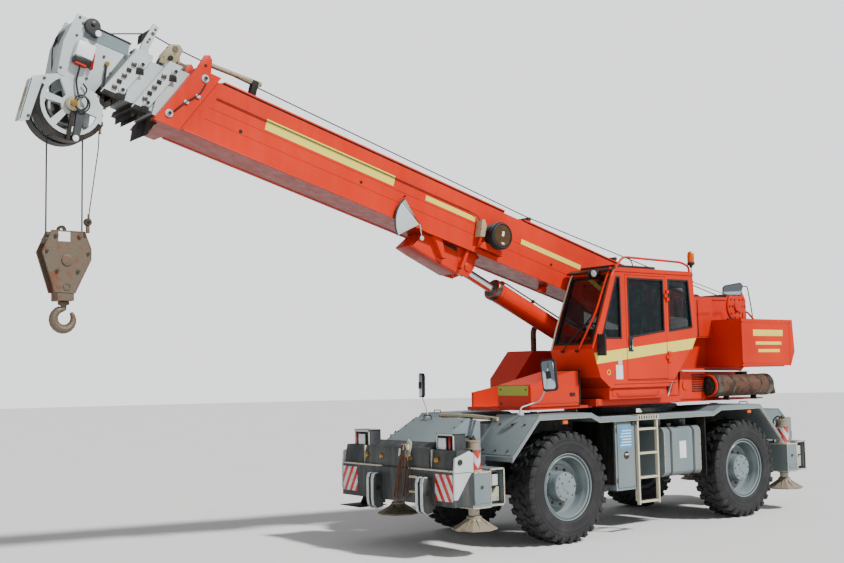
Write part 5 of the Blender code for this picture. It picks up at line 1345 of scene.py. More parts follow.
def cab():
    quarter = [(0.80, 2.75), (1.20, 2.75), (0.87, 3.62), (0.80, 3.62)]
    rear = [(-0.78, 2.92), (-0.26, 2.86), (-0.26, 3.62), (-0.72, 3.62)]
    door = [(-0.14, 2.86), (0.63, 2.76), (0.63, 3.61), (-0.14, 3.61)]
    body = "upper_works"
    seals = Piece("cab_window_seals", bevel=0.002)
    bead(seals, quarter, 0.014, 0.010, 1.172, 1.206, seal)
    bead(seals, rear, 0.014, 0.010, 1.172, 1.206, seal)
    bead(seals, [(-0.70, 2.90), (0.72, 2.90), (0.72, 3.60), (-0.70, 3.60)], 0.014, 0.012, 0.352, 0.40, seal)
    bead(seals, [(0.50, 3.05), (1.05, 3.05), (1.05, 3.55), (0.50, 3.55)], 0.014, 0.012, -0.892, -0.80,
        seal, "X")
    slope = Matrix.Translation((1.38, 0, 2.60)) @ Matrix.Rotation(-atan2(0.48, 1.15), 4, "Y")
    long = 1.10 * 1.246 / 1.15
    bead(seals, [(0.42, 0.07 * long), (1.14, 0.07 * long), (1.14, 0.95 * long), (0.42, 0.95 * long)],
        0.016, 0.014, -0.02, 0.010, seal, "X", slope)
    seals.done(body)
    panes = Piece("cab_panes", bevel=0.001)
    panes.prism(inset(rear, 0.002), 1.176, 1.182, glass)
    panes.box((-0.698, 0.718), (0.378, 0.384), (2.902, 3.598), glass)
    panes.box((-0.862, -0.856), (0.502, 1.048), (3.052, 3.548), glass)
    panes.done(body)
    shut = Piece("door_seals", bevel=0.002)
    bead(shut, door, 0.014, 0.010, 1.172, 1.206, seal)
    shut.box((0.555, 0.655), (1.2, 1.208), (2.56, 2.76), plastic, 0.012)
    shut.box((0.575, 0.602), (1.206, 1.226), (2.585, 2.735), chrome, 0.005)
    shut.lathe([(0, 0), (0.014, 0), (0.014, 0.01), (0, 0.011)], (0.63, 1.207, 2.63), "Y", chrome, 20)
    shut.prism([(-0.186, 2.5369), (-0.186, 2.6935), (0.681, 2.6081), (0.681, 2.4506)], 1.2003, 1.2018,
        yellow, bevel=0.0)
    shut.box((-0.185, 0.68), (1.2, 1.2035), (2.158, 2.166), black_paint_and_painted_shade, 0.0)
    shut.box((0.30, 0.50), (1.13, 1.148), (2.30, 2.42), plastic, 0.01)
    shut.done("door")
    marks = Piece("cab_markings", bevel=0.0)
    marks.prism([(0.694, 2.4494), (1.3200, 2.3876), (1.3650, 2.5415), (0.694, 2.6068)], 1.2003, 1.2018,
        yellow)
    marks.prism([(-0.199, 2.5381), (-0.199, 2.6948), (-0.862, 2.7594), (-0.765, 2.5939)], 1.2003,
        1.2018, yellow)
    marks.box((0.79, 0.93), (1.2003, 1.2016), (2.17, 2.37), white_sheet)
    marks.box((0.80, 0.88), (1.2003, 1.2016), (2.375, 2.44), pale)
    marks.lathe([(0.03, 0), (0.038, 0), (0.038, 0.0015), (0.03, 0.0015)], (0, 0, 0), "Y", yellow, 32,
        Matrix.Translation((1.08, 1.2003, 2.27)), closed=True)
    marks.box((-0.36, 0.98), (1.2, 1.2025), (2.098, 2.104), black_paint_and_painted_shade)
    marks.box((-0.36, -0.205), (1.2, 1.2025), (2.146, 2.152), black_paint_and_painted_shade)
    marks.done(body)
    rails = Piece("cab_guard_rails")
    path = [(1.425, 1.225, 2.60), (1.21, 1.235, 3.12), (0.985, 1.225, 3.66), (0.80, 1.17, 3.80),
        (0.62, 1.12, 3.925), (-0.68, 1.12, 3.905), (-0.84, 1.13, 3.85), (-0.845, 1.14, 3.74)]
    rails.tube(bent(path, 0.09), 0.017, red, 14)
    rails.tube(bent([(0.52, 1.12, 3.92), (0.42, 1.1, 3.88), (0.34, 1.08, 3.76)], 0.05), 0.009, red, 10)
    rails.tube(bent([(1.40, 0.40, 2.60), (1.29, 0.395, 2.90), (0.975, 0.40, 3.62), (0.92, 0.42, 3.74)],
        0.12), 0.011, cream, 12)
    rails.tube(bent([(1.43, 0.97, 2.60), (1.24, 1.13, 3.10), (1.01, 1.15, 3.62), (0.93, 1.16, 3.76)],
        0.12), 0.016, red, 12)
    for point in ((1.40, 1.20, 2.66), (0.99, 1.19, 3.64)):
        rails.tube([(point[0], point[1] - 0.02, point[2]),
            (point[0] + 0.01, point[1] + 0.03, point[2])], 0.008, red, 10)
    rails.done(body)
    front = Piece("cab_front_fittings", bevel=0.004)
    front.prism([(0.90, 3.70), (0.985, 3.70), (0.975, 3.725), (0.88, 3.765)], 0.34, 1.215, seal)
    front.box((-0.02, 0.86), (0.50, 1.17), (3.76, 3.80), seal, 0.006)
    front.box((0.03, 0.80), (0.55, 1.12), (3.80, 3.806), glass, 0.004)
    for k in range(2):
        front.tube([(1.385, 0.62 + 0.28 * k, 2.575), (1.42, 0.62 + 0.28 * k, 2.575)], 0.02, black, 20)
    front.tube([(1.43, 0.64, 2.58), (1.37, 0.80, 2.76), (1.275, 0.98, 2.95)], 0.009, seal, 8)
    front.tube([(1.355, 0.79, 2.74), (1.195, 1.10, 3.13)], 0.013, seal, 8)
    front.lathe([(0, 0), (0.05, 0), (0.06, 0.02), (0.06, 0.06), (0.05, 0.07), (0, 0.07)], (0, 0, 0),
        "X", black, 32, Matrix.Translation((0.965, 0.93, 3.70)) @ Matrix.Rotation(0.25, 4, "Y"))
    front.lathe([(0, 0.068), (0.05, 0.068), (0.045, 0.078), (0, 0.08)], (0, 0, 0), "X", lamp_glass, 32,
        Matrix.Translation((0.965, 0.93, 3.70)) @ Matrix.Rotation(0.25, 4, "Y"))
    front.box((1.01, 1.07), (0.84, 0.86), (3.62, 3.72), black)
    front.tube(bent([(1.33, 1.20, 2.80), (1.33, 1.27, 2.80), (1.31, 1.275, 2.68)], 0.03), 0.008, black, 10)
    front.box((1.285, 1.32), (1.215, 1.365), (2.50, 2.80), plastic, 0.014)
    front.box((1.278, 1.286), (1.23, 1.35), (2.515, 2.785), mirror_glass, 0.006)
    front.box((-0.80, -0.70), (0.40, 1.16), (3.62, 3.655), plastic, 0.006)
    front.done(body)
    beacon = Piece("beacon", bevel=0.002)
    at = (-0.88, 1.15, 0)
    beacon.tube([(-0.88, 1.15, 3.30), (-0.88, 1.15, 3.66)], 0.011, pale, 12)
    beacon.tube([(-0.88, 1.15, 3.60), (-0.88, 1.15, 3.85)], 0.008, black, 10)
    beacon.box((-0.90, -0.82), (1.12, 1.17), (3.60, 3.63), red, 0.004)
    beacon.lathe([(0, 3.83), (0.016, 3.83), (0.03, 3.865), (0.055, 3.875), (0.058, 3.905),
        (0.052, 3.912), (0, 3.912)], at, "Z", plastic, 32)
    beacon.lathe([(0, 3.905), (0.050, 3.912), (0.052, 3.93), (0.052, 4.02), (0.046, 4.055),
        (0.03, 4.075), (0, 4.082)], at, "Z", amber, 40)
    beacon.done(body)
    mirror = Piece("rear_view_mirror", bevel=0.01)
    mirror.tube([(-0.87, 1.15, 3.62), (-2.10, 0.90, 3.46)], 0.006, steel, 8)
    mirror.tube(bent([(-2.30, 0.90, 3.58), (-2.62, 0.90, 3.63), (-2.70, 0.90, 3.30),
        (-2.74, 0.90, 3.07)], 0.06), 0.009, steel, 10)
    lean = Matrix.Translation((-2.24, 0.90, 3.56)) @ Matrix.Rotation(radians(48), 4, "Z")
    mirror.prism([(-0.17, -0.09), (0.12, -0.10), (0.16, 0.06), (0.12, 0.11), (-0.13, 0.07),
        (-0.17, 0.03)], -0.015, 0.012, plastic, "X", None, lean)
    mirror.prism([(-0.155, -0.08), (0.11, -0.088), (0.145, 0.055), (0.112, 0.095), (-0.122, 0.058),
        (-0.155, 0.025)], 0.010, 0.015, mirror_glass, "X", 0.001, lean)
    mirror.done(body)


cab()


def cab_inside():
    """A sprung vinyl seat, and a dash with a thin steering wheel and levers."""
    seat = Piece("seat_cushions", bevel=0.02)
    seat.box((0.03, 0.55), (0.54, 1.02), (2.55, 2.63), vinyl, 0.025)
    seat.prism([(0.045, 2.58), (0.17, 2.58), (0.05, 3.24), (-0.07, 3.24)], 0.57, 0.99, vinyl, "Y", 0.03)
    seat.box((-0.10, 0.02), (0.66, 0.90), (3.25, 3.42), vinyl, 0.03)
    for y in (0.53, 1.03):
        seat.box((0.10, 0.42), (y - 0.03, y + 0.03), (2.74, 2.79), vinyl, 0.015)
    seat.done("upper_works")
    dash = Piece("dash_controls", bevel=0.004)
    wheel = Matrix.Translation((0.84, 0.78, 2.86)) @ Matrix.Rotation(radians(-38), 4, "Y")
    ring = [(0.19 * cos(2 * pi * k / 32), 0.19 * sin(2 * pi * k / 32), 0) for k in range(33)]
    dash.tube(ring, 0.013, plastic, 10, wheel)
    for x, y in circle(3, 0.185):
        dash.tube([(0, 0, -0.01), (x, y, 0)], 0.009, plastic, 8, wheel)
    dash.lathe([(0, -0.03), (0.03, -0.03), (0.035, 0.01), (0, 0.015)], (0, 0, 0), "Z", plastic, 24, wheel)
    dash.tube([(0.84, 0.78, 2.85), (0.93, 0.78, 2.73)], 0.02, plastic, 14)
    for k in range(4):
        y = 0.56 + 0.025 * k if k < 2 else 0.96 + 0.025 * (k - 2)
        dash.tube([(0.55, y, 2.55), (0.50, y, 2.84)], 0.006, chrome, 8)
        dash.lathe([(0, 0), (0.016, 0.005), (0.018, 0.02), (0.012, 0.035), (0, 0.038)], (0.50, y, 2.83),
            "Z", plastic, 16)
    dash.box((0.86, 0.95), (0.56, 1.0), (2.78, 2.86), plastic, 0.02)
    for k in range(4):
        dash.disc(0.032, 0.006, (0, 0, 0), "X", white_sheet, 24,
            Matrix.Translation((0.856, 0.62 + 0.1 * k, 2.82)) @ Matrix.Rotation(pi, 4, "Z"))
    dash.box((-0.55, 0.95), (0.42, 1.14), (2.1, 2.106), plastic, 0.002)
    dash.done("upper_works")


cab_inside()

# ---- main boom ----------------------------------------------------------------------------------
# A box of welded high-tensile plate with a stiff collar at its mouth, hose rails on top, a cable
# reel for the load sensor, a boom angle dial, and a wedge bracket for the luffing cylinder.

BOOM_AXES = Matrix.Translation((-2.55, 0, 2.92)) @ Matrix.Rotation(radians(-15.1), 4, "Y")
brown_glass = moulded("brown_transparent_cover", "#4a3520", "#6b5233", gloss=0.12, dusty=0.35, depth=0.05)


def base_section():
    boom = Piece("boom_base_details", BOOM_AXES, bevel=0.003)
    for side in (1, -1):
        face = side * 0.2803
        for n, start in ((0.02, 1.2), (-0.13, 0.9)):
            boom.box((start, 9.68), ordered(face, face + side * 0.003), (n, n + 0.006), red, 0.001)
        for low, high in ((0.72, 4.55), (4.95, 9.55)):
            # a black strip under each hose rail: painted shadow in the gap beneath the rail
            boom.box((low, high), ordered(side * 0.19, side * 0.276), (0.3575, 0.376), black_paint_and_painted_shade, 0.001)
            boom.box((low, high), ordered(side * 0.16, side * 0.288), (0.376, 0.398), red)
            boom.box((low, high), ordered(side * 0.16, side * 0.17), (0.3575, 0.42), red)
        boom.box((0.7, 9.9), ordered(side * 0.24, side * 0.284), (-0.366, -0.352), red)
        for s in (2.55, 3.9, 7.4):
            boom.lathe([(0, 0), (0.018, 0), (0.018, 0.006), (0, 0.007)], (0, 0, 0), "Y", black, 16,
                Matrix.Translation((s, face, -0.12 + 0.04 * (s > 3))) @ outward(side))
        wedge = [(5.22, -0.36), (5.225, -0.55), (5.30, -0.70), (5.53, -0.714), (6.144, -0.624),
            (6.364, -0.583), (6.20, -0.36)]
        boom.prism(wedge, *ordered(side * 0.152, side * 0.172), red)
        boom.prism([(5.25, -0.35), (5.60, -0.35), (5.52, -0.56), (5.28, -0.56)],
            *ordered(side * 0.172, side * 0.18), red)
        boom.lathe([(0, 0), (0.062, 0), (0.062, 0.012), (0.045, 0.02), (0.02, 0.02), (0, 0.022)],
            (0, 0, 0), "Y", red, 32, Matrix.Translation((5.34, side * 0.172, -0.57)) @ outward(side))
        boom.prism([(5.95, -0.30), (6.12, -0.30), (5.86, -0.60), (5.80, -0.60)],
            *ordered(side * 0.172, side * 0.25), red)
        for s, n in ((9.824, 0.305), (10.142, -0.266)):
            ring = Matrix.Translation((s, side * 0.34, n)) @ outward(side)
            boom.lathe([(0, 0), (0.047, 0), (0.047, 0.012), (0.036, 0.014), (0.036, 0.012),
                (0.024, 0.012), (0.024, 0.03), (0, 0.03)], (0, 0, 0), "Y", pale, 28, ring)
            boom.lathe([(0, 0.029), (0.022, 0.029), (0.022, 0.034), (0, 0.034)], (0, 0, 0), "Y", black,
                6, ring)
        boom.tube(bent([(9.80, side * 0.348, 0.24), (9.84, side * 0.356, 0.10),
            (10.0, side * 0.356, -0.08), (10.09, side * 0.348, -0.22)], 0.05), 0.009, black, 8)
        for s, n in ((9.86, 0.06), (9.98, -0.06)):
            boom.box((s - 0.03, s + 0.03), ordered(side * 0.34, side * 0.362), (n - 0.018, n + 0.018),
                pale, 0.004)
        boom.disc(0.024, 0.003, (0, 0, 0), "Y", black_paint_and_painted_shade, 20,
            Matrix.Translation((9.2, side * 0.2803, -0.10)) @ outward(side))
        boom.prism([(9.72, 0.38), (9.93, 0.38), (9.86, 0.62), (9.80, 0.645), (9.755, 0.60)],
            *ordered(side * 0.22, side * 0.25), red)
        boom.disc(0.018, 0.006, (9.82, side * 0.25, 0.50), "Y", black, 16)
    for side in (1, -1):
        # a dark triangle on each side: painted shadow in the gap between the boom's bottom and the cylinder
        # bracket
        boom.prism([(6.02, -0.372), (5.457, -0.36), (5.478, -0.425)],
            *ordered(side * 0.172, side * 0.176), black_paint_and_painted_shade, bevel=0.0)
        boom.prism([(5.46, -0.35), (5.42, -0.35), (5.475, -0.64), (5.525, -0.64)],
            *ordered(side * 0.172, side * 0.25), red)
    boom.prism([(5.53, -0.70), (6.144, -0.612), (6.36, -0.572), (6.36, -0.592), (6.144, -0.634),
        (5.53, -0.722)], -0.172, 0.172, red)
    boom.prism([(6.34, -0.585), (6.364, -0.583), (6.20, -0.355), (6.18, -0.355)], -0.172, 0.172, red)
    boom.prism([(10.16, -0.36), (10.30, -0.36), (10.285, -0.567), (10.24, -0.43)], -0.25, 0.25, black_paint_and_painted_shade)
    boom.box((9.08, 9.16), (0.12, 0.20), (0.36, 0.62), black_paint_and_painted_shade)
    boom.box((9.05, 9.80), (0.14, 0.18), (0.57, 0.59), tan)
    boom.tube([(9.03, 0.16, 0.615), (9.80, 0.16, 0.565)], 0.030, tan, 16)
    boom.tube([(3.74, -0.05, -0.40), (3.74, 0.05, -0.40)], 0.05, red, 24)
    for s in (2.4, 4.3):
        boom.box((s, s + 0.06), (-0.14, 0.14), (0.3575, 0.47), red)
        boom.tube([(s + 0.03, -0.13, 0.50), (s + 0.03, 0.13, 0.50)], 0.03, steel, 20)
    boom.prism([(0.62, 0.17), (1.0, 0.352), (0.66, 0.352)], -0.20, 0.20, red)
    boom.box((6.9, 8.9), (0.2803, 0.2818), (0.05, 0.19), yellow, 0.0)
    boom.box((5.45, 6.35), (0.2803, 0.2818), (0.05, 0.12), yellow, 0.0)
    boom.box((3.3, 4.55), (0.2803, 0.2818), (0.02, 0.10), yellow, 0.0)
    boom.done("boom")


def angle_dial():
    """A pale sheet-metal quadrant with a dark rim, two scribed lines and a weighted pointer."""
    dial = Piece("boom_angle_dial", BOOM_AXES, bevel=0.001)
    apex = (6.393, -0.314)
    rim = [(apex[0] + 0.415 * cos(radians(a)), apex[1] + 0.415 * sin(radians(a)))
        for a in range(-40, 43, 6)]
    mid = [(apex[0] + 0.392 * cos(radians(a)), apex[1] + 0.392 * sin(radians(a)))
        for a in range(-40, 43, 6)]
    dial.prism([apex] + mid, 0.316, 0.319, pale)
    for k in range(len(rim) - 1):
        dial.prism([mid[k], rim[k], rim[k + 1], mid[k + 1]], 0.312, 0.323, dark)
    for a in (30, 35):
        tip = (apex[0] + 0.39 * cos(radians(a)), apex[1] + 0.39 * sin(radians(a)))
        side = Vector((-sin(radians(a)), cos(radians(a)))) * 0.004
        dial.prism([(apex[0] - side.x, apex[1] - side.y), (tip[0] - side.x, tip[1] - side.y),
            (tip[0] + side.x, tip[1] + side.y), (apex[0] + side.x, apex[1] + side.y)], 0.319, 0.321,
            black, bevel=0.0)
    dial.tube([(apex[0], 0.328, apex[1]), (6.317, 0.328, -0.485)], 0.006, pale, 8)
    dial.lathe([(0, 0), (0.032, 0), (0.032, 0.008), (0, 0.01)], (6.317, 0.324, -0.485), "Y", pale, 24)
    for s, n in ((6.44, -0.30), (6.70, -0.02), (6.68, -0.34)):
        dial.tube([(s, 0.278, n), (s, 0.318, n)], 0.008, black, 10)
    dial.box((6.28, 6.55), (0.20, 0.312), (-0.372, -0.350), red)
    dial.done("boom")


def reel():
    """A spring reel with a ribbed moulded drum, a brown see-through cover and a sheet bracket."""
    drum = Piece("cable_reel_drum", BOOM_AXES, bevel=0.003)
    at = (5.08, 0.2803, -0.05)
    profile = [(0, 0.0), (0.10, 0.0), (0.10, 0.03), (0.19, 0.035)]
    for k in range(6):
        y = 0.05 + 0.022 * k
        profile += [(0.194, y), (0.194, y + 0.009), (0.184, y + 0.012), (0.184, y + 0.018)]
    profile += [(0.19, 0.19), (0.178, 0.208), (0.16, 0.212), (0.155, 0.202), (0, 0.202)]
    drum.lathe(profile, at, "Y", plastic, 56)
    drum.lathe([(0, 0.200), (0.150, 0.200), (0.148, 0.207), (0.07, 0.210), (0, 0.211)], at, "Y",
        brown_glass, 48)
    drum.box((5.06, 5.10), (0.489, 0.493), (-0.06, 0.01), white_sheet, 0.001)
    drum.box((5.03, 5.08), (0.489, 0.493), (-0.17, -0.145), white_sheet, 0.001)
    drum.prism([(5.32, -0.14), (5.40, -0.16), (5.42, 0.08), (5.37, 0.10), (5.32, 0.02)], 0.281, 0.40, tan)
    drum.box((4.98, 5.34), (0.2803, 0.30), (-0.30, 0.10), red, 0.006)
    drum.prism([(4.93, -0.30), (5.36, -0.30), (5.30, -0.20), (4.98, -0.20)], 0.281, 0.38, red)
    drum.tube(bent([(5.30, 0.36, -0.02), (5.42, 0.36, 0.06), (5.44, 0.31, 0.14), (5.60, 0.292, 0.16),
        (9.6, 0.292, 0.16)], 0.06), 0.006, plastic, 8)
    item = drum.done("boom")
    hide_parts("cable_reel")


base_section()
angle_dial()
reel()

# ---- luffing cylinder ---------------------------------------------------------------------------
# Honed steel tube painted with the boom, a screwed gland at its mouth and a hard-chromed rod.
# A steel pipe in clamps feeds it.

CYLINDER_AXES = Matrix.Translation((2.7541, 0, 3.7608)) @ Matrix.Rotation(radians(-24.4493), 4, "Y")


def cylinder():
    barrel = Piece("cylinder_fittings", CYLINDER_AXES, bevel=0.002)
    barrel.lathe([(0.075, -0.642), (0.12, -0.642), (0.13, -0.65), (0.152, -0.652), (0.156, -0.66),
        (0.156, -0.72), (0.150, -0.728), (0.1452, -0.735), (0.075, -0.70)], (0, 0, 0), "X", steel, 56,
        closed=True)
    barrel.lathe([(0.1452, -0.80), (0.1475, -0.80), (0.1475, -0.79), (0.1452, -0.79)], (0, 0, 0), "X",
        red, 56, closed=True)
    barrel.lathe([(0.1452, -3.10), (0.152, -3.10), (0.152, -3.06), (0.1452, -3.06)], (0, 0, 0), "X",
        red, 56, closed=True)
    barrel.tube(bent([(-0.76, 0.05, 0.140), (-0.80, 0.06, 0.165), (-2.85, 0.06, 0.165),
        (-2.90, 0.06, 0.14)], 0.03), 0.011, steel, 12)
    for s in (-0.76, -2.90):
        barrel.box((s - 0.03, s + 0.03), (0.02, 0.085), (0.13, 0.165), red, 0.006)
    for s in (-1.4, -2.2):
        barrel.box((s - 0.015, s + 0.015), (0.035, 0.085), (0.135, 0.180), steel, 0.003)
    barrel.done("cylinder_barrel")


cylinder()

# ---- telescoping sections -----------------------------------------------------------------------
# Two pale grey boxes that slide in each other; each mouth has a leaning collar with wear pad
# screws, a black strip with teeth under it (black pads, darkened as painted underside shade),
# and brackets for the hoist rope on top.


def section_collar(name, body, back, front, half_width, half_depth, pins, teeth):
    lip = Piece(name + "_collar_details", BOOM_AXES, bevel=0.003)
    lean = 0.43
    edge = half_width + 0.0403

    def rake(s, n):
        return s - lean * n

    for side in (1, -1):
        flip = outward(side)
        for s, n in pins:
            at = Matrix.Translation((s, side * edge, n)) @ flip
            lip.lathe([(0, 0), (0.044, 0), (0.044, 0.010), (0.033, 0.012), (0.023, 0.012),
                (0.023, 0.030), (0, 0.030)], (0, 0, 0), "Y", pale, 28, at)
            lip.lathe([(0, 0.029), (0.022, 0.029), (0.022, 0.034), (0, 0.034)], (0, 0, 0), "Y", black,
                6, at)
            lip.prism([(s - 0.05, n - 0.11), (s + 0.045, n - 0.13), (s + 0.055, n - 0.05),
                (s - 0.03, n - 0.045)], *ordered(side * edge, side * (edge + 0.008)), black_paint_and_painted_shade)
        for k in range(5):
            n = 0.14 - 0.085 * k
            s = rake((back + front) / 2 + 0.02, n)
            span = ordered(side * edge, side * (edge + (0.014 if k % 2 else 0.022)))
            lip.box((s - 0.028, s + 0.028), span, (n - 0.024, n + 0.024), black if k % 2 else steel, 0.005)
        rim = [(rake(front - 0.012, half_depth + 0.03), half_depth + 0.03),
            (rake(front, half_depth + 0.03), half_depth + 0.03),
            (rake(front, -half_depth - 0.03), -half_depth - 0.03),
            (rake(front - 0.012, -half_depth - 0.03), -half_depth - 0.03)]
        lip.prism(rim, *ordered(side * (edge - 0.02), side * (edge + 0.006)), pale)
    # the black strip and teeth under the collar: black pads, partly painted shade of the dark underside
    low = -half_depth - 0.03
    for s in teeth:
        lip.prism([(s - 0.05, low + 0.03), (s + 0.07, low + 0.03), (s + 0.045, low - 0.10)],
            -half_width + 0.02, half_width, black_paint_and_painted_shade)
    lip.box((rake(back, low), rake(front, low)), (-half_width - 0.02, half_width + 0.042),
        (low - 0.012, low + 0.05), black_paint_and_painted_shade)
    lip.tube(bent([(back + 0.10, 0.10, half_depth + 0.03), (back + 0.06, 0.10, half_depth + 0.09),
        (back - 0.06, 0.06, half_depth + 0.09), (back - 0.12, 0.06, half_depth + 0.04)], 0.04), 0.011,
        plastic, 10)
    lip.done(body)


section_collar("section_2", "section_2", 10.245, 10.415, 0.245, 0.32,
    ((10.174, 0.248), (10.397, -0.233)), (10.47, 10.40))
section_collar("section_3", "section_3", 10.578, 10.798, 0.21, 0.28,
    ((10.556, 0.177), (10.700, -0.197)), (10.80, 10.72))


def top_brackets():
    low = Piece("section_2_rope_bracket", BOOM_AXES, bevel=0.004)
    for y in (0.05, 0.13):
        low.prism([(10.06, 0.34), (10.34, 0.34), (10.32, 0.4615), (10.25, 0.613), (10.15, 0.645),
            (10.092, 0.60), (10.11, 0.50)], y, y + 0.02, tan)
    low.tube([(10.19, 0.04, 0.57), (10.19, 0.16, 0.57)], 0.035, rusty, 20)
    low.tube([(10.22, 0.02, 0.44), (10.22, 0.17, 0.44)], 0.03, black, 16)
    low.box((10.02, 10.14), (0.02, 0.20), (0.35, 0.43), rusty, 0.01)
    low.done("section_2")
    high = Piece("section_3_rope_bracket", BOOM_AXES, bevel=0.004)
    high.prism([(10.60, 0.30), (10.47, 0.30), (10.498, 0.42), (10.445, 0.72), (10.517, 0.75),
        (10.592, 0.468)], 0.13, 0.165, pale)
    high.prism([(10.592, 0.468), (10.517, 0.70), (10.61, 0.58)], 0.02, 0.13, black_paint_and_painted_shade)
    high.tube([(10.50, 0.02, 0.62), (10.50, 0.17, 0.62)], 0.022, steel, 16)
    high.box((10.44, 10.66), (0.04, 0.20), (0.29, 0.36), pale, 0.004)
    for s, n in ((10.485, 0.68), (10.52, 0.54), (10.535, 0.50)):
        high.lathe([(0, 0.165), (0.014, 0.165), (0.014, 0.172), (0, 0.173)], (s, 0, n), "Y", steel, 14)
    high.done("section_3")


top_brackets()

# ---- boom head ----------------------------------------------------------------------------------
# Two burnt-out side plates welded to the innermost box, with lightening windows, a dark rope
# guard round the sheave, a top roller, a limit switch in a pale box and its cable.


HEAD_SHEAVE = (11.175, -0.56)  # along the boom and above its middle line


def head_plates():
    """The CAD head with windows cut beside the sheave and its lower rim trimmed to take the guard."""
    head = frame["nodes"]["boom_head"].copy()
    head.data = head.data.copy()
    head.name = "boom_head_plates"
    head.parent = None
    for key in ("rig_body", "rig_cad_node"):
        del head[key]
    bpy.context.scene.collection.objects.link(head)
    centre = Vector(HEAD_SHEAVE)
    cutters = []

    def cutter(outline, low, high):
        part = Piece("cutter", BOOM_AXES, bevel=0.0)
        part.prism(outline, low, high, pale)
        cutters.append(part.done())

    for middle in (28, -32, -92, -152):
        ring = [(centre.x + r * cos(radians(a)), centre.y + r * sin(radians(a)))
            for r, angles in ((0.30, range(middle - 22, middle + 23, 11)),
            (0.115, range(middle + 14, middle - 15, -7))) for a in angles]
        cutter(ring, 0.15, 0.25)
        cutter(ring, -0.25, -0.15)
    rim = [(centre.x + r * cos(radians(a)), centre.y + r * sin(radians(a)))
        for r, angles in ((0.345, range(-165, 16, 12)), (0.46, range(15, -166, -12))) for a in angles]
    cutter(rim, -0.30, 0.30)
    for tool in cutters:
        cut = head.modifiers.new("cut", "BOOLEAN")
        cut.operation = "DIFFERENCE"
        cut.solver = "EXACT"
        cut.object = tool
    bpy.context.view_layer.update()
    mesh = bpy.data.meshes.new_from_object(head.evaluated_get(bpy.context.evaluated_depsgraph_get()))
    head.modifiers.clear()
    head.data = mesh
    for tool in cutters:
        bpy.data.objects.remove(tool)
    mesh.materials.clear()
    mesh.materials.append(pale)
    mesh.set_sharp_from_angle(angle=radians(35))
    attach(head, "head")
    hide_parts("boom_head")


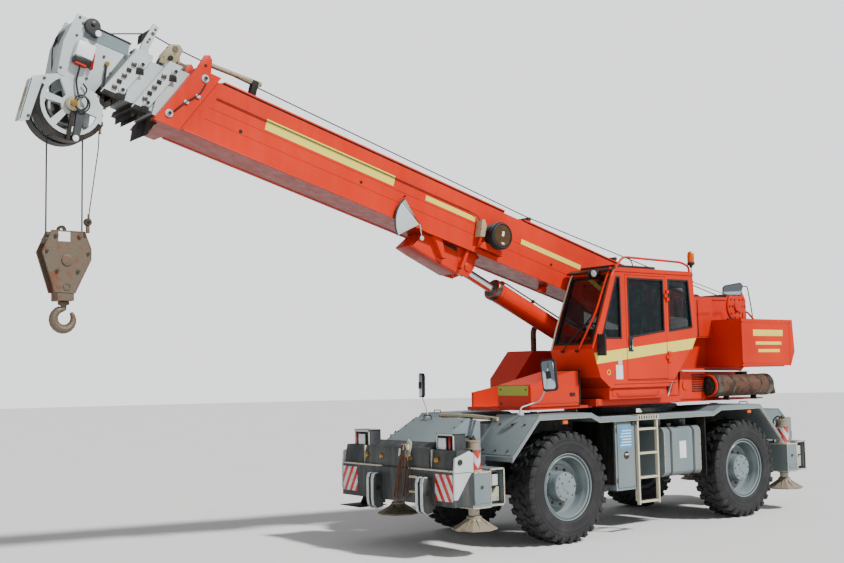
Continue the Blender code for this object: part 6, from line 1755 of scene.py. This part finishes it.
def head_fittings():
    centre = HEAD_SHEAVE
    guard = Piece("rope_guard", BOOM_AXES, bevel=0.003)
    angles = list(range(-168, 19, 6))
    for k in range(len(angles) - 1):
        quad = [(centre[0] + r * cos(radians(a)), centre[1] + r * sin(radians(a)))
            for r, a in ((0.340, angles[k]), (0.398, angles[k]), (0.398, angles[k + 1]),
            (0.340, angles[k + 1]))]
        for low, high in ((0.15, 0.195), (-0.195, -0.15)):
            guard.prism(quad, low, high, black_paint_and_painted_shade, bevel=0.0)
        quad = [(centre[0] + r * cos(radians(a)), centre[1] + r * sin(radians(a)))
            for r, a in ((0.382, angles[k]), (0.398, angles[k]), (0.398, angles[k + 1]),
            (0.382, angles[k + 1]))]
        if -140 < angles[k] < -25:
            guard.prism(quad, 0.04, 0.15, black_paint_and_painted_shade, bevel=0.0)
            guard.prism(quad, -0.15, -0.04, black_paint_and_painted_shade, bevel=0.0)
    guard.done("head")
    fit = Piece("head_fittings", BOOM_AXES, bevel=0.004)
    out = 0.2055
    fit.prism([(10.72, 0.225), (11.28, 0.215), (11.30, 0.36), (10.75, 0.375)], out, out + 0.003, grey,
        bevel=0.0)
    fit.prism([(10.73, 0.365), (11.10, 0.372), (11.10, 0.388), (10.73, 0.381)], out, out + 0.012, black_paint_and_painted_shade)
    fit.prism([(11.34, -0.30), (11.24, 0.42), (11.38, 0.452), (11.404, 0.36), (11.443, 0.09),
        (11.407, -0.29)], out, out + 0.006, pale)
    fit.prism([(11.395, 0.33), (11.41, 0.33), (11.45, 0.08), (11.42, -0.28), (11.405, -0.28),
        (11.435, 0.08)], -0.21, 0.212, pale)
    for s, n in ((11.35, 0.41), (11.30, 0.36), (11.33, 0.20), (11.40, -0.22), (11.53, -0.40),
            (11.58, -0.86), (11.10, -0.22), (10.98, 0.10), (10.86, -0.05)):
        fit.lathe([(0, 0), (0.017, 0), (0.017, 0.012), (0, 0.013)], (s, out, n), "Y", steel, 6)
    fit.box((11.118, 11.318), (out, 0.31), (-0.04, 0.13), white_sheet, 0.012)
    fit.box((11.128, 11.308), (0.215, 0.305), (-0.115, -0.045), black, 0.01)
    fit.box((11.16, 11.29), (0.225, 0.30), (-0.135, -0.10), red, 0.01)
    fit.prism([(11.08, -0.12), (11.10, 0.06), (11.118, 0.06), (11.118, -0.10)], out, 0.28, red_lens)
    for s, n, r in ((11.20, 0.36, 0.085), (11.15, 0.30, 0.05)):
        fit.lathe([(0, 0), (r, 0), (r * 1.06, 0.015), (r * 0.82, 0.03), (r * 1.06, 0.05), (r, 0.065),
            (0, 0.07)], (s, 0.20, n), "Y", plastic, 40)
    fit.lathe([(0, 0.07), (0.034, 0.07), (0.034, 0.085), (0, 0.088)], (11.13, 0.20, 0.295), "Y",
        white_sheet, 28)
    fit.lathe([(0, 0.07), (0.024, 0.07), (0.024, 0.085), (0, 0.088)], (11.205, 0.20, 0.385), "Y", steel, 20)
    fit.lathe([(0, -0.06), (0.17, -0.06), (0.17, -0.045), (0.13, -0.02), (0.13, 0.02), (0.17, 0.045),
        (0.17, 0.06), (0, 0.06)], (11.30, 0, 0.15), "Y", plastic, 56)
    fit.lathe([(0, 0), (0.075, 0), (0.08, 0.01), (0.08, 0.045), (0.06, 0.06), (0, 0.062)],
        (centre[0], out, centre[1]), "Y", tan, 40)
    fit.lathe([(0, 0.06), (0.04, 0.06), (0.04, 0.08), (0, 0.082)], (centre[0], out, centre[1]), "Y",
        brass, 6)
    fit.prism([(11.49, -0.33), (11.66, -0.43), (11.66, -0.96), (11.56, -0.90), (11.54, -0.44)], 0.196,
        0.204, pale)
    fit.box((11.645, 11.665), (0.075, 0.204), (-0.93, -0.45), pale)
    fit.box((11.664, 11.668), (0.10, 0.19), (-0.82, -0.55), tan, 0.001)
    fit.prism([(11.02, -0.60), (11.12, -0.58), (11.08, -0.93), (11.01, -0.92)], out, out + 0.05, dark)
    fit.prism([(11.13, -0.62), (11.17, -0.62), (11.14, -0.95), (11.10, -0.95)], out, out + 0.03, black_paint_and_painted_shade)
    fit.lathe([(0, 0.05), (0.035, 0.05), (0.03, 0.065), (0, 0.07)], (11.05, out, -0.92), "Y",
        white_sheet, 24)
    for y in (0.16, -0.16):
        fit.tube([(10.83, y - 0.05, -0.37), (10.83, y + 0.05, -0.37)], 0.075, black_paint_and_painted_shade, 28)
    fit.tube(bent([(11.22, 0.26, -0.13), (11.21, 0.235, -0.30), (11.16, 0.24, -0.42),
        (11.12, 0.24, -0.48)], 0.05), 0.011, plastic, 10)
    loop = [(11.10 + 0.075 * cos(2 * pi * k / 20), 0.262, -0.52 + 0.085 * sin(2 * pi * k / 20))
        for k in range(21)]
    fit.tube(loop, 0.011, plastic, 8)
    fit.tube([(p[0] - 0.02, 0.276, p[2] - 0.015) for p in loop], 0.009, plastic, 8)
    fit.tube(bent([(11.13, 0.24, -0.30), (11.06, 0.235, -0.35), (11.10, 0.24, -0.46)], 0.04), 0.009,
        plastic, 8)
    fit.tube(bent([(10.93, out + 0.01, 0.02), (10.93, out + 0.03, -0.05), (10.90, out + 0.02, -0.25)],
        0.03), 0.013, plastic, 10)
    fit.disc(0.028, 0.03, (10.93, out, 0.03), "Y", brass, 6)
    fit.done("head")
    spokes = Piece("sheave_webs", BOOM_AXES, bevel=0.002)
    for side in (1, -1):
        at = Matrix.Translation((centre[0], side * 0.0505, centre[1])) @ outward(side)
        spokes.lathe([(0.045, 0), (0.08, 0), (0.08, 0.035), (0.045, 0.04)], (0, 0, 0), "Y", tan, 36, at,
            True)
        spokes.lathe([(0.185, 0), (0.212, 0), (0.212, 0.012), (0.185, 0.014)], (0, 0, 0), "Y", pale, 56,
            at, True)
        for k in range(6):
            spokes.box((0.075, 0.19), (0, 0.014), (-0.014, 0.014), pale, 0.003, at @
                Matrix.Rotation(2 * pi * k / 6, 4, "Y"))
    spokes.done("sheaves")


head_plates()
head_fittings()

# ---- hoist rope ---------------------------------------------------------------------------------
# One greased wire rope leaves the drum, runs over the rollers on the boom and over the head.
# A thinner line hangs beside the falls and holds the hoist limit switch's weight.


def on_boom(s, y, n):
    return tuple(BOOM_AXES @ Vector((s, y, n)))


def in_row(point):
    return (point[0] + SLEW_X, point[1], point[2])


def rope_run():
    runs = (
        ("rope_from_drum", ((-2.98, 0.05, 3.535), (-2.05, 0.05, 3.751)), ("upper_works", "boom")),
        ("rope_above_boom", ((-2.05, 0.05, 3.751), on_boom(4.33, 0.05, 0.545)), None),
        ("rope_on_boom", (on_boom(4.33, 0.05, 0.545), on_boom(9.70, 0.09, 0.60)), None),
        ("rope_to_section_2", (on_boom(9.70, 0.09, 0.60), on_boom(10.19, 0.10, 0.605)),
            ("boom", "section_2")),
        ("rope_to_section_3", (on_boom(10.19, 0.10, 0.605), on_boom(10.50, 0.08, 0.645)),
            ("section_2", "section_3")),
        ("rope_to_head", (on_boom(10.50, 0.08, 0.645), on_boom(11.24, 0.0, 0.318)), ("section_3", "head")),
    )
    for name, (start, end), bodies in runs:
        rope = Piece(name)
        a, b = Vector(start), Vector(end)
        rope.tube([a.lerp(b, k / 24) for k in range(25)], 0.008, greased, 8)
        if bodies:
            rope.done(blend=(*bodies, in_row(start), in_row(end)))
        else:
            rope.done("boom")
    lead = Piece("rope_over_head")
    lead.tube(bent([on_boom(11.24, 0.0, 0.318), on_boom(11.42, 0.0, 0.28), on_boom(11.49, 0.0, 0.05),
        on_boom(11.40, 0.0, -0.30), on_boom(11.375, 0.0, -0.50)], 0.09), 0.008, greased, 8)
    lead.done("head")
    top = (8.025, 0.10, 5.274)
    waist = (8.05, 0.12, 4.85)
    line = Piece("limit_line_top")
    line.tube([Vector(top).lerp(Vector(waist), k / 12) for k in range(13)], 0.006, greased, 8)
    line.lathe([(0, 0.02), (0.028, 0), (0.032, -0.04), (0.024, -0.07), (0.02, -0.11), (0.034, -0.115),
        (0.034, -0.16), (0.022, -0.17), (0.01, -0.23), (0.018, -0.235), (0.018, -0.25), (0, -0.25)],
        top, "Z", brass, 20)
    line.done(blend=("head", "falls", in_row((8.025, 0.10, 5.28)), in_row((8.03, 0.10, 5.1))))
    drop = Piece("limit_line")
    foot = (8.165, 0.14, 4.08)
    drop.tube([Vector(waist).lerp(Vector(foot), k / 16) for k in range(17)], 0.006, greased, 8)
    drop.done(blend=("falls", "block", in_row(waist), in_row(foot)))
    weight = Piece("limit_weight", bevel=0.004)
    weight.lathe([(0, -0.03), (0.035, -0.03), (0.042, -0.02), (0.042, 0.02), (0.035, 0.03), (0, 0.03)],
        (8.175, 0.14, 4.02), "Y", steel, 28)
    weight.lathe([(0, -0.04), (0.014, -0.04), (0.014, 0.04), (0, 0.04)], (8.175, 0.14, 4.02), "Y",
        black, 12)
    weight.box((8.155, 8.19), (0.12, 0.155), (3.90, 4.0), rusty)
    weight.tube([(8.165, 0.14, 4.06), (8.165, 0.14, 4.11)], 0.013, rusty, 10)
    weight.done("block")


rope_run()

# ---- hook block ---------------------------------------------------------------------------------
# Flame-cut steel cheeks bolted over a single sheave; the forged hook swivels in a trunnion.


def block_fittings():
    parts = Piece("hook_block_fittings", bevel=0.003)
    x = 8.385
    for side in (1, -1):
        face = side * 0.105
        flip = outward(side)
        for px, pz, r in ((-0.135, 3.86, 0.026), (0.125, 3.86, 0.026), (-0.12, 3.48, 0.024),
                (0.11, 3.48, 0.024), (0.22, 3.69, 0.02), (-0.235, 3.68, 0.02)):
            at = Matrix.Translation((x + px, face, pz)) @ flip
            parts.disc(r, 0.008, (0, 0, 0), "Y", rusty, 20, at)
            parts.lathe([(0, 0.008), (r * 0.7, 0.008), (r * 0.7, 0.024), (0, 0.026)], (0, 0, 0), "Y",
                steel, 6, at)
        at = Matrix.Translation((x, face, 3.60)) @ flip
        parts.lathe([(0, 0), (0.062, 0), (0.062, 0.014), (0.04, 0.018), (0, 0.018)], (0, 0, 0), "Y",
            rusty, 32, at)
        at = Matrix.Translation((x, face, 3.31)) @ flip
        parts.lathe([(0.03, 0), (0.042, 0), (0.042, 0.008), (0.03, 0.008)], (0, 0, 0), "Y", rusty, 28,
            at, True)
        edge = [(0.168, 3.92), (-0.196, 3.92), (-0.27, 3.73), (-0.27, 3.61), (-0.093, 3.24),
            (0.132, 3.25), (0.27, 3.69)]
        bead(parts, [(x + a, z) for a, z in edge], 0.012, -0.0005, *ordered(face, face + side * 0.003),
            rusty)
        parts.box((x - 0.03, x + 0.10), ordered(face, face + side * 0.002), (3.80, 3.905), white_sheet, 0.0)
    parts.lathe([(0.022, -0.02), (0.05, -0.02), (0.05, 0.02), (0.022, 0.02)], (x + 0.03, 0.0, 3.935),
        "Y", steel, 28, closed=True)
    for px in (-0.19, 0.17):
        parts.tube([(x + px, -0.085, 3.86), (x + px, 0.085, 3.86)], 0.018, steel, 14)
    parts.done("block")
    latch = Piece("hook_latch", bevel=0.002)
    latch.lathe([(0, 3.155), (0.055, 3.155), (0.062, 3.145), (0.062, 3.125), (0.05, 3.115), (0, 3.115)],
        (x, 0, 0), "Z", rusty, 28)
    latch.prism([(x - 0.01, 3.09), (x + 0.005, 3.10), (x + 0.105, 3.035), (x + 0.10, 3.02)], -0.016,
        0.016, steel)
    latch.done("hook")


block_fittings()

for item in (bolt_head, tread):
    bpy.data.objects.remove(item)
